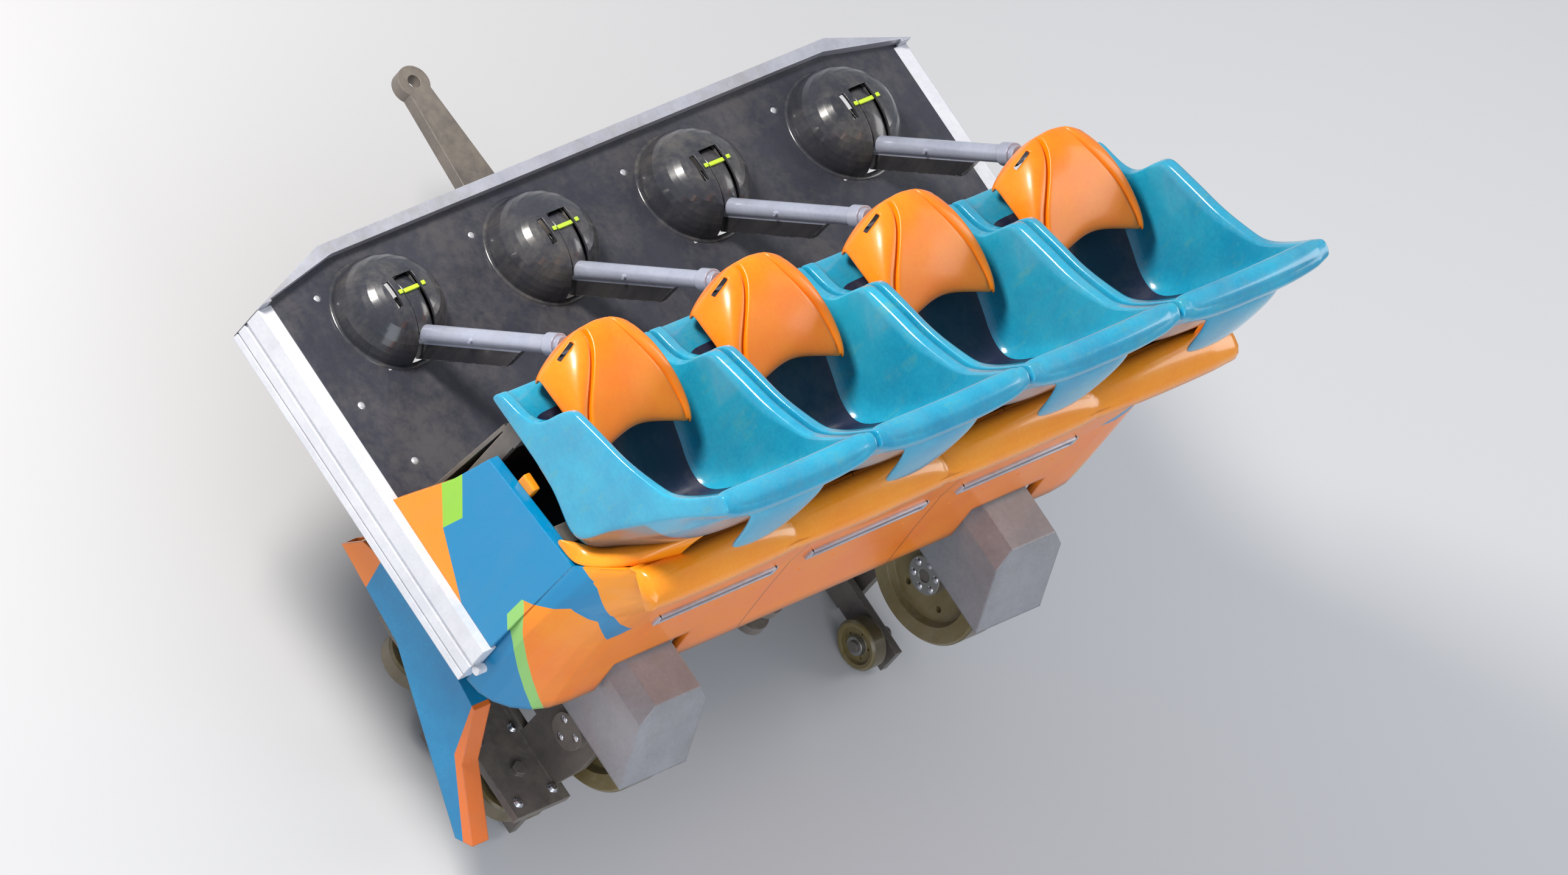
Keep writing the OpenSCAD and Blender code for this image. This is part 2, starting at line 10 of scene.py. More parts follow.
import json
import logging
import math
from dataclasses import dataclass, replace
from enum import Enum, IntEnum
from functools import partial, partialmethod
from typing import Callable, Iterable, Sequence

import bmesh
import bpy
from bmesh.types import BMVert
from bpy.types import Material, Node, NodeSocket, NodeTree, Object
from mathutils import Matrix, Vector

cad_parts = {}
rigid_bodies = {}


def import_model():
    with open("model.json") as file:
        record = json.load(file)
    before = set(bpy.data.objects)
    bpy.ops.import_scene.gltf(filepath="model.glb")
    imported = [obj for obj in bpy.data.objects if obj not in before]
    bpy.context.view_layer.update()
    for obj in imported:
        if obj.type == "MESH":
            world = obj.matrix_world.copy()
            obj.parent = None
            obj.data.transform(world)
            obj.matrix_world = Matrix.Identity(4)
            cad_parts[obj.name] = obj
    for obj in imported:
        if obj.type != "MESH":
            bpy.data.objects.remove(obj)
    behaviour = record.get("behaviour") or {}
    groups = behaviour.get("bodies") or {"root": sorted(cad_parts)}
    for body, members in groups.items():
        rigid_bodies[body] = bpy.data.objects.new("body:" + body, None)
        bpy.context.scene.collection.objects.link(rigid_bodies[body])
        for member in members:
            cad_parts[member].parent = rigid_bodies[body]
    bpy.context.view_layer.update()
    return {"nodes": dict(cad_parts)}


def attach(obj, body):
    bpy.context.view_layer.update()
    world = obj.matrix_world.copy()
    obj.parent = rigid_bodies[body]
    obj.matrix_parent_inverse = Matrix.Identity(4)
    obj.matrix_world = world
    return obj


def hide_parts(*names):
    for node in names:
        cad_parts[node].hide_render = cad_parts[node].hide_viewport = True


LOG = logging.getLogger("car")
Point = tuple[float, float, float]
Pairs = Sequence[tuple[float, float]]
Rows = Sequence[Sequence[BMVert]]

SHIFT = Vector((0.465, 0.0, 0.954))  # the car's origin in the shared frame
BODY = "car_body"
SEAT_Y = (0.87, 0.29, -0.29, -0.87)
DRAIN_Y = (-0.58, 0.0, 0.58)
PIVOT = (-0.180, -0.036)
BAR_LEAN = math.radians(35.2)
AXLE = -1.075
ROAD_STEP = 0.225
ROAD_AXIS = -0.425


def car(f: float, y: float, u: float) -> Vector:
    """Turns car coordinates into the shared frame.

    Args:
        f: Distance ahead of the sills' front end, in metres.
        y: Distance left of the centre line.
        u: Height over the floor.

    Returns:
        The point in the shared frame.
    """
    return Vector((f, y, u)) + SHIFT


class Side(Enum):
    """The two sides of the car."""

    LEFT = 1
    RIGHT = -1


class Projection(Enum):
    """How a radial mask measures distance from a wheel's axis."""

    LATERAL = "XZ"
    UPRIGHT = "XY"


class Hue(IntEnum):
    """Screen colours of painted fields and marks, and of painted light and shade, as 0xRRGGBB."""

    DUST = 0x928A7C
    ORANGE_FIELD = 0xFF920A
    LIME_FIELD = 0x92CE3C
    CORNER_LIME = 0x92CE6E
    CORNER_BLUE = 0x0084B8
    FIN_NOSE = 0xF08028
    FIN_TAIL = 0xEE782C
    # Painted sunlight on the ledge.
    TUB_LEDGE = 0xFC9618
    # Painted sunlight on the rear corners.
    TUB_CORNER = 0xFF9C14
    TUB_SEAM = 0x603014
    # Painted shade on the shell's underside.
    TUB_ROLL = 0x825C42
    SEAT_RUB = 0x78B082
    # Painted shade on the seats' rear-facing outer back.
    SEAT_TAB = 0x7A6C62
    TREAD = 0x463E30
    HUB = 0xA8A6A2
    GUARD = 0x26262C


@dataclass(frozen=True)
class Finish:
    """Numbers of one surface finish.

    Attributes:
        name: The material's name.
        color: Base colour, as 0xRRGGBB.
        shade: Second colour that the first one drifts to.
        wear: Colour shown on worn edges.
        rough: Mean roughness.
        metal: Metallic value.
        coat: Clear coat weight.
        grain: Size of the surface grain, in features per metre.
        bump: Strength of the grain's bump.
        wear_amount: How much of the edges is worn.
        dirt: How much dust lies on the surface.
        edge: Radius the edges are shaded with, in metres.
    """

    name: str
    color: int
    shade: int
    wear: int
    rough: float
    metal: float
    coat: float
    grain: float
    bump: float
    wear_amount: float
    dirt: float
    edge: float = 0.0035


def srgb(code: int) -> Point:
    """Turns a screen colour into linear light.

    Args:
        code: The colour, as 0xRRGGBB.

    Returns:
        The linear colour.
    """
    parts = [(code >> shift & 255) / 255.0 for shift in (16, 8, 0)]
    return tuple(v / 12.92 if v <= 0.04045 else ((v + 0.055) / 1.055) ** 2.4 for v in parts)


TEAL = Finish("teal_moulding", 0x1C96BE, 0x2CACCE, 0x96C896, 0.22, 0.0, 0.55, 300, 0.035, 0.35, 0.12)
ORANGE = Finish("orange_moulding", 0xFC7E04, 0xFF8E0A, 0xFFB060, 0.32, 0.0, 0.15, 300, 0.03, 0.25, 0.03)
SHELL = replace(ORANGE, edge=0.022)
# A lighter copy of the tub's orange: painted sunlight on the ledge pieces and shoulders, which face the
# light.
LEDGE = Finish("ledge_moulding", 0xFC9212, 0xFFA01E, 0xFFC46E, 0.26, 0.0, 0.45, 300, 0.03, 0.25, 0.04)
BLUE = Finish("blue_paint", 0x007EB4, 0x008EC2, 0x78BEDC, 0.26, 0.0, 0.25, 260, 0.03, 0.25, 0.10, 0.006)
FLOOR = Finish("floor_coating", 0x2C2D38, 0x3A3B46, 0x787A86, 0.46, 0.0, 0.2, 900, 0.35, 0.5, 0.14)
HUMP = Finish("hump_moulding", 0x2C2D34, 0x3A3B42, 0x6E7078, 0.22, 0.0, 0.5, 320, 0.04, 0.3, 0.25)
RIM = Finish("rim_metal", 0xB0B2BE, 0xC4C6D0, 0xE2E4EA, 0.38, 0.35, 0.1, 420, 0.08, 0.7, 0.3)
SILL = Finish("sill_paint", 0xD6D8E0, 0xE8E9EE, 0x9698A0, 0.28, 0.0, 0.4, 240, 0.03, 0.35, 0.2)
FRAME = Finish("frame_paint", 0x625C58, 0x78706A, 0xAAA096, 0.45, 0.2, 0.1, 220, 0.10, 0.8, 0.5)
HOUSING = Finish("housing_paint", 0x8C8D92, 0xA0A1A6, 0xC8C8CC, 0.35, 0.15, 0.25, 220, 0.06, 0.6, 0.25, 0.010)
BAR = Finish("bar_paint", 0xA0A6BA, 0xB4BACC, 0xD8DCE4, 0.3, 0.25, 0.3, 240, 0.04, 0.6, 0.2)
STEEL = Finish("bare_steel", 0x96969A, 0xB2B2B6, 0xDCDCE0, 0.3, 1.0, 0.0, 500, 0.08, 0.5, 0.3)
# Dark navy: partly the seat's own dark inside, partly painted shade deep in the seat.
SEAT_LINER_AND_SHADE = Finish("seat_liner", 0x181E3A, 0x222846, 0x465478, 0.42, 0.0, 0.1, 500, 0.10, 0.3, 0.12)
BOLT = Finish("bright_bolt", 0xC4C4CA, 0xD8D8DC, 0xF0F0F4, 0.22, 1.0, 0.0, 600, 0.04, 0.4, 0.1)
RUBBER = Finish("dark_rubber", 0x18181C, 0x222226, 0x3C3C42, 0.6, 0.0, 0.0, 700, 0.12, 0.3, 0.3)
LIME = Finish("lime_film", 0xCEE828, 0xBEE23C, 0xE6F096, 0.35, 0.0, 0.2, 300, 0.02, 0.2, 0.1)
SCREW = Finish("pale_screw", 0xD6D8DC, 0xE6E6EA, 0xFAFAFA, 0.3, 0.6, 0.0, 600, 0.03, 0.2, 0.1)
FLANK = replace(BLUE, color=Hue.ORANGE_FIELD, shade=Hue.ORANGE_FIELD)


class Tree:
    """Small helper round a node tree."""

    def __init__(self, tree: NodeTree) -> None:
        """Wraps a tree.

        Args:
            tree: The shader or geometry node tree to build in.
        """
        self.tree = tree

    def node(self, kind: str, **values: object) -> Node:
        """Makes a node and sets its properties and inputs.

        Args:
            kind: The node's class name.
            **values: Properties by name; an input by name with in_ before it,
                spaces as underscores, or by number as in_0.

        Returns:
            The new node.
        """
        n = self.tree.nodes.new(kind)
        for key, value in values.items():
            if not key.startswith("in_"):
                setattr(n, key, value)
                continue
            name = key[3:]
            sock = n.inputs[int(name)] if name.isdigit() else n.inputs[name.replace("_", " ")]
            if isinstance(value, NodeSocket):
                self.tree.links.new(value, sock)
            else:
                sock.default_value = value
        return n

    def math(self, op: str, a: object, b: object = 0.0, clamp: bool = False) -> NodeSocket:
        """Makes a math node.

        Args:
            op: The operation.
            a: First value or socket.
            b: Second value or socket.
            clamp: Whether the result is held in 0 to 1.

        Returns:
            The result's socket.
        """
        return self.node("ShaderNodeMath", operation=op, use_clamp=clamp, in_0=a, in_1=b).outputs[0]

    add = partialmethod(math, "ADD")
    sub = partialmethod(math, "SUBTRACT")
    mul = partialmethod(math, "MULTIPLY")

    def mix(self, fac: object, a: object, b: object) -> NodeSocket:
        """Mixes two colours.

        Args:
            fac: Share of the second.
            a: First colour, as 0xRRGGBB, or socket.
            b: Second colour or socket.

        Returns:
            The mixed colour's socket.
        """
        a, b = ((*srgb(v), 1.0) if isinstance(v, int) else v for v in (a, b))
        return self.node("ShaderNodeMix", data_type="RGBA", in_0=fac, in_6=a, in_7=b).outputs[2]

    def ramp(self, value: NodeSocket, start: float, end: float) -> NodeSocket:
        """Makes a held ramp.

        Args:
            value: What is read.
            start: Where the result is 0.
            end: Where it is 1.

        Returns:
            The result's socket.
        """
        return self.node("ShaderNodeMapRange", in_0=value, in_1=start, in_2=end).outputs[0]

    def noise(self, place: NodeSocket, scale: object, detail: float, rough: float = 0.5) -> NodeSocket:
        """Makes a noise texture.

        Args:
            place: Where it is read.
            scale: Features per metre.
            detail: Number of finer layers.
            rough: Strength of the finer layers.

        Returns:
            The value's socket.
        """
        values = {"in_Vector": place, "in_Scale": scale, "in_Detail": detail, "in_Roughness": rough}
        return self.node("ShaderNodeTexNoise", **values).outputs[0]

    def scaled(self, scale: Point) -> NodeSocket:
        """Stretches the Object coordinate.

        Args:
            scale: Factors by axis.

        Returns:
            The stretched coordinate.
        """
        return self.node("ShaderNodeMapping", in_Vector=self.coord(), in_Scale=scale).outputs[0]

    def coord(self) -> NodeSocket:
        """Returns the Object coordinate."""
        return self.node("ShaderNodeTexCoord").outputs["Object"]

    def normal(self) -> NodeSocket:
        """Returns the surface's normal."""
        return self.node("ShaderNodeNewGeometry").outputs["Normal"]

    def split(self, vector: NodeSocket) -> tuple[NodeSocket, ...]:
        """Returns the X, Y and Z of a vector."""
        return tuple(self.node("ShaderNodeSeparateXYZ", in_0=vector).outputs)

    def height(self, start: float, end: float) -> NodeSocket:
        """Makes a ramp over the height above the floor.

        Args:
            start: Height where the result is 0.
            end: Height where it is 1.

        Returns:
            The result's socket.
        """
        return self.ramp(self.split(self.coord())[2], SHIFT.z + start, SHIFT.z + end)


def make_group(
    name: str,
    inputs: dict[str, float],
    build: Callable[..., NodeSocket],
    out: str = "Mask",
    kind: str = "Float",
) -> NodeTree:
    """Makes a shader node group with one output.

    Args:
        name: The group's name.
        inputs: Float inputs with their defaults.
        build: Takes the tree helper and one socket per input, gives the output's socket.
        out: The output's name.
        kind: Its short type, Float or Vector.

    Returns:
        The group.
    """
    tree = bpy.data.node_groups.new(name, "ShaderNodeTree")
    for key, value in inputs.items():
        tree.interface.new_socket(key, in_out="INPUT", socket_type="NodeSocketFloat").default_value = value
    tree.interface.new_socket(out, in_out="OUTPUT", socket_type=f"NodeSocket{kind}")
    t = Tree(tree)
    sockets = t.node("NodeGroupInput").outputs
    result = build(t, *(sockets[key] for key in inputs))
    tree.links.new(result, t.node("NodeGroupOutput").inputs[0])
    return tree


class EffectGroups:
    """Shared shader effects: colour drift, edge wear, settled dust and grain."""

    def __init__(self) -> None:
        """Builds every group once."""
        self.drift = make_group("colour_drift", {"Scale": 6.0}, self._drift)
        self.wear = make_group("edge_wear", {"Amount": 0.5, "Radius": 0.004}, self._wear)
        self.dust = make_group("settled_dust", {"Amount": 0.3}, self._dust)
        grain = {"Scale": 300.0, "Strength": 0.05, "Edge": 0.0035}
        self.grain = make_group("surface_grain", grain, self._grain, "Normal", "Vector")

    @staticmethod
    def _drift(t: Tree, scale: NodeSocket) -> NodeSocket:
        """Slow and fine colour drift as one mask."""
        slow = t.noise(t.coord(), scale, 5.0, 0.6)
        fast = t.noise(t.coord(), 90.0, 3.0)
        return t.ramp(t.add(t.mul(slow, 0.75), t.mul(fast, 0.25)), 0.36, 0.64)

    @staticmethod
    def _wear(t: Tree, amount: NodeSocket, radius: NodeSocket) -> NodeSocket:
        """Mask of worn edges: where a bevelled normal leaves the true one."""
        bevel = t.node("ShaderNodeBevel", samples=4, in_0=radius).outputs[0]
        dot = t.node("ShaderNodeVectorMath", operation="DOT_PRODUCT", in_0=bevel, in_1=t.normal())
        edge = t.mul(t.sub(1.0, dot.outputs["Value"]), 6.0, clamp=True)
        broken = t.ramp(t.noise(t.coord(), 55.0, 6.0, 0.7), 0.42, 0.6)
        return t.mul(t.mul(edge, broken), amount, clamp=True)

    @staticmethod
    def _dust(t: Tree, amount: NodeSocket) -> NodeSocket:
        """Mask of dust that settles on upward faces and streaks down sides."""
        up = t.split(t.normal())[2]
        facing = t.node("ShaderNodeMapRange", in_0=up, in_1=-0.2, in_2=1.0, in_3=0.35, in_4=1.0).outputs[0]
        streak = t.noise(t.scaled((1.0, 1.0, 0.16)), 26.0, 8.0, 0.7)
        patch = t.ramp(t.mul(streak, t.noise(t.coord(), 4.5, 4.0)), 0.2, 0.36)
        return t.mul(t.mul(patch, facing), amount, clamp=True)

    @staticmethod
    def _grain(t: Tree, scale: NodeSocket, strength: NodeSocket, radius: NodeSocket) -> NodeSocket:
        """Normal of a fine moulded or cast grain on rounded edges."""
        wave = t.mul(t.noise(t.coord(), 7.0, 2.0), 2.0)
        height = t.add(t.noise(t.coord(), scale, 3.0), wave)
        edge = t.node("ShaderNodeBevel", samples=6, in_0=radius).outputs[0]
        values = {"in_Strength": strength, "in_Distance": 0.002, "in_Height": height, "in_Normal": edge}
        return t.node("ShaderNodeBump", **values).outputs[0]


class Paintbox:
    """Builds and keeps the procedural materials."""

    def __init__(self) -> None:
        """Makes the shared groups and an empty store."""
        self.groups = EffectGroups()
        self.store: dict[str, Material] = {}

    def plain(self, finish: Finish) -> Material:
        """Returns the material of a finish.

        Args:
            finish: The finish.

        Returns:
            The material, made at first use.
        """
        return self.custom(finish.name, finish, lambda t, base: base)

    def custom(
        self,
        name: str,
        finish: Finish,
        recolour: Callable[[Tree, NodeSocket], NodeSocket],
        shape: Callable[[Tree, Node], None] | None = None,
    ) -> Material:
        """Makes a finish's material with its base colour passed through a function.

        Args:
            name: The material's name.
            finish: The finish to start from.
            recolour: Takes the tree and base colour, gives the new colour.
            shape: Optional last change to the Principled node.

        Returns:
            The material.
        """
        if name in self.store:
            return self.store[name]
        mat = bpy.data.materials.new(name)
        mat.use_nodes = True
        mat.node_tree.nodes.clear()
        t = Tree(mat.node_tree)
        drift = self._group(t, self.groups.drift)
        base = recolour(t, t.mix(drift, finish.color, finish.shade))
        worn = self._group(t, self.groups.wear, Amount=finish.wear_amount)
        dust = self._group(t, self.groups.dust, Amount=finish.dirt)
        color = t.mix(dust, t.mix(worn, base, finish.wear), Hue.DUST)
        rough = t.add(t.mul(drift, 0.08), finish.rough - 0.04)
        rough = t.add(rough, t.mul(dust, 0.35), clamp=True)
        grain = self._group(t, self.groups.grain, Scale=finish.grain, Strength=finish.bump, Edge=finish.edge)
        bsdf = t.node(
            "ShaderNodeBsdfPrincipled",
            in_Base_Color=color,
            in_Roughness=rough,
            in_Metallic=finish.metal,
            in_Normal=grain,
            in_Coat_Weight=finish.coat,
            in_Coat_Roughness=0.08,
        )
        if shape:
            shape(t, bsdf)
        t.node("ShaderNodeOutputMaterial", in_0=bsdf.outputs[0])
        self.store[name] = mat
        return mat

    @staticmethod
    def _group(t: Tree, group: NodeTree, **values: float) -> NodeSocket:
        """Puts a shared group in a tree.

        Args:
            t: The tree helper.
            group: The node group.
            **values: Its input values by name.

        Returns:
            The group's output.
        """
        n = t.node("ShaderNodeGroup", node_tree=group)
        for key, value in values.items():
            n.inputs[key].default_value = value
        return n.outputs[0]


def inside_mask(t: Tree, outline: Pairs, wrap: float = 0.0) -> NodeSocket:
    """Mask of a convex outline in the car's side view.

    Args:
        t: The tree helper.
        outline: Corners (forward, up) in car coordinates, either way round.
        wrap: Half-width the outline is wrapped from, round the rear corners; 0 for a flat view.

    Returns:
        A socket that is 1 inside and 0 outside.
    """
    soft = 0.0012
    along, out, up = t.split(t.coord())
    if wrap:
        inset = t.sub(wrap, t.math("ABSOLUTE", out))
        along = t.sub(along, t.math("MAXIMUM", inset, 0.0))
    area = sum(a[0] * b[1] - b[0] * a[1] for a, b in zip(outline, [*outline[1:], outline[0]]))
    points = list(outline) if area > 0 else list(reversed(outline))
    result: NodeSocket | None = None
    for a, b in zip(points, [*points[1:], points[0]]):
        dx, dz = b[0] - a[0], b[1] - a[1]
        size = math.hypot(dx, dz)
        nx, nz = -dz / size, dx / size
        offset = -(nx * (a[0] + SHIFT.x) + nz * (a[1] + SHIFT.z))
        line = t.add(t.add(t.mul(along, nx), t.mul(up, nz)), offset)
        result = line if result is None else t.math("MINIMUM", result, line)
    return t.add(t.math("DIVIDE", result, soft), 0.5, clamp=True)


# Outlines on the side view, as (forward, up); the corner's are wrapped from its width.
FLANK_LOWER = (
    ((-0.60, -0.03), (-0.62, 0.20), (-0.700, 0.186), (-0.790, 0.096), (-0.916, -0.03)),
    ((-0.60, -0.03), (-0.60, 0.190), (-0.790, 0.096), (-1.034, -0.03)),
)
FLANK_LIME = ((-0.690, 0.190), (-0.712, 0.272), (-0.722, 0.262), (-0.809, 0.176), (-0.790, 0.096))
CORNER = 1.185
HOOKS = (
    ((-0.95, 0.17), (-1.085, 0.19), (-1.226, 0.294), (-1.226, 0.43), (-0.95, 0.46)),
    ((-1.200, 0.299), (-1.356, 0.272), (-1.385, 0.308), (-1.250, 0.418), (-1.200, 0.43)),
    ((-1.350, 0.278), (-1.475, 0.146), (-1.558, 0.166), (-1.385, 0.315)),
)
CORNER_BLUES = (
    ((-0.55, -0.24), (-0.55, 0.60), (-1.086, 0.60), (-1.086, -0.24)),
    ((-0.90, 0.118), (-1.088, 0.118), (-1.404, -0.184), (-1.460, -0.237), (-0.90, -0.237)),
)
CORNER_LIMES = (
    ((-0.90, -0.24), (-0.90, 0.20), (-1.086, 0.20), (-1.114, 0.174), (-1.148, 0.116),
     (-1.148, -0.24)),
    ((-1.00, 0.116), (-1.148, 0.116), (-1.475, -0.210), (-1.505, -0.240), (-1.00, -0.240)),
)
FIN_NOSE = ((-0.50, -0.25), (-0.50, -0.50), (-0.70, -0.50), (-0.66, -0.25))
FIN_TAIL = ((-1.120, -0.30), (-1.200, -0.545), (-1.385, -0.715), (-1.50, -0.80), (-1.50, -0.30))

# Painted fields, first to last: colour, outlines and the width they wrap from.
Fields = Sequence[tuple[int, Sequence[Pairs], float]]
CORNER_FIELDS = (
    (Hue.CORNER_LIME, CORNER_LIMES, CORNER),
    (Hue.CORNER_BLUE, CORNER_BLUES, CORNER),
    (Hue.CORNER_BLUE, HOOKS, CORNER),
)
FLANK_FIELDS = (
    *CORNER_FIELDS,
    (Hue.ORANGE_FIELD, FLANK_LOWER, 0.0),
    (Hue.LIME_FIELD, (FLANK_LIME,), 0.0),
)
FIN_FIELDS = ((Hue.FIN_NOSE, (FIN_NOSE,), 0.0), (Hue.FIN_TAIL, (FIN_TAIL,), 0.0))


def lay_fields(t: Tree, base: NodeSocket, fields: Fields) -> NodeSocket:
    """Paints fields over a colour.

    Args:
        t: The tree helper.
        base: The colour.
        fields: The fields.

    Returns:
        The colour after every field.
    """
    for paint, outlines, wrap in fields:
        for outline in outlines:
            base = t.mix(inside_mask(t, outline, wrap), base, paint)
    return base


def tub_colour(t: Tree, base: NodeSocket) -> NodeSocket:
    """Paints the tub: painted sunlight on the ledge and the rear corners, seams, painted shade on the brown
    lower roll, corner fields.

    Args:
        t: The tree helper.
        base: The orange base colour.

    Returns:
        The colour after all of them.
    """
    out = t.math("ABSOLUTE", t.split(t.coord())[1])
    # Painted sunlight: above 0.47 m the ledge turns a lighter, warmer orange.
    color = t.mix(t.mul(t.height(0.47, 0.55), 0.75), base, Hue.TUB_LEDGE)
    # Painted light: the rear corners, where they face the light, turn a lighter orange.
    color = t.mix(t.mul(t.ramp(out, 0.80, 0.94), t.height(0.10, 0.42)), color, Hue.TUB_CORNER)
    seam = t.math("LESS_THAN", t.math("ABSOLUTE", t.sub(out, SEAT_Y[1])), 0.0022)
    color = t.mix(t.mul(seam, 0.8), color, Hue.TUB_SEAM)
    # Painted shade: below the roll, the shell's underside turns brown.
    color = t.mix(t.mul(t.height(-0.15, -0.19), 0.6), color, Hue.TUB_ROLL)
    return lay_fields(t, color, CORNER_FIELDS)


def seat_colour(t: Tree, base: NodeSocket) -> NodeSocket:
    """Adds the greenish rub marks and painted shade: the rear-facing outer back below the skirt tab turns
    grey-brown.

    Args:
        t: The tree helper.
        base: The teal base colour.

    Returns:
        The colour with both.
    """
    rub = t.ramp(t.noise(t.scaled((9.0, 3.0, 3.0)), 3.0, 7.0, 0.7), 0.56, 0.74)
    color = t.mix(t.mul(rub, 0.35), base, Hue.SEAT_RUB)
    behind = t.ramp(t.split(t.normal())[0], -0.45, -0.60)
    # Painted shade on the rear-facing outer back below 0.72 m.
    return t.mix(t.mul(behind, t.height(0.735, 0.720)), color, Hue.SEAT_TAB)


def bar_colour(t: Tree, base: NodeSocket) -> NodeSocket:
    """Darkens the guard behind a lap bar's tube.

    Args:
        t: The tree helper.
        base: The bar's colour.

    Returns:
        The colour with the dark guard.
    """
    x, _, z = t.split(t.coord())
    pivot = car(PIVOT[0], 0.0, PIVOT[1])
    c, s = math.cos(BAR_LEAN), math.sin(BAR_LEAN)
    across = t.add(t.add(t.mul(x, c), t.mul(z, s)), -(c * pivot.x + s * pivot.z))
    guard = t.ramp(across, -0.0255, -0.0275)
    shield = t.ramp(radius_from(t, (x, z), (pivot.x, pivot.z)), 0.140, 0.138)
    return t.mix(t.math("MAXIMUM", guard, shield), base, Hue.GUARD)


def radius_from(t: Tree, sockets: Sequence[NodeSocket], centre: tuple[float, float]) -> NodeSocket:
    """Distance from an axis.

    Args:
        t: The tree helper.
        sockets: The two coordinates across the axis.
        centre: The axis' place in them.

    Returns:
        The distance's socket.
    """
    a, b = (t.math("POWER", t.sub(sock, value), 2.0) for sock, value in zip(sockets, centre))
    return t.math("SQRT", t.add(a, b))


TYRE = Finish("tyre", 0x70623A, 0x86764A, 0x968C68, 0.34, 0.0, 0.25, 160, 0.10, 0.4, 0.5)
# Wheels by the first word of their nodes: half spacing along the car, the axis'
# height or distance out in the frame, projection, hub radius and tread radius.
WHEELS = {
    "road": (ROAD_STEP, ROAD_AXIS + SHIFT.z, Projection.LATERAL, 0.060, 0.203),
    "upstop": (0.205, -0.879 + SHIFT.z, Projection.LATERAL, 0.032, 0.074),
    "guide": (0.215, 0.842, Projection.UPRIGHT, 0.038, 0.094),
}


def wheel_material(paint: Paintbox, name: str) -> Material:
    """Returns the tyre and hub material of one wheel node.

    Args:
        paint: The material store.
        name: The node's name.

    Returns:
        The material, shared by wheels with the same axis position.
    """
    kind = name.split("_")[0]
    end = 1 if name.endswith("front") else -1
    step, second, plane, hub, tread = WHEELS[kind]
    centre = (AXLE + end * step + SHIFT.x, second)
    masks: dict[str, NodeSocket] = {}

    def recolour(t: Tree, base: NodeSocket) -> NodeSocket:
        x, y, z = t.split(t.coord())
        across = z if plane is Projection.LATERAL else t.math("ABSOLUTE", y)
        radius = radius_from(t, (x, across), centre)
        masks["hub"] = t.ramp(radius, hub + 0.001, hub - 0.001)
        worn = t.ramp(radius, tread - 0.004, tread + 0.001)
        return t.mix(masks["hub"], t.mix(t.mul(worn, 0.7), base, Hue.TREAD), Hue.HUB)

    def metal_hub(t: Tree, bsdf: Node) -> None:
        soft = t.mul(t.sub(1.0, masks["hub"]), 0.25)
        t.tree.links.new(t.mul(masks["hub"], 0.9), bsdf.inputs["Metallic"])
        t.tree.links.new(soft, bsdf.inputs["Subsurface Weight"])
        bsdf.inputs["Subsurface Radius"].default_value = (0.02, 0.015, 0.005)

    return paint.custom(f"{kind}_tyre_{end + 1}", TYRE, recolour, metal_hub)


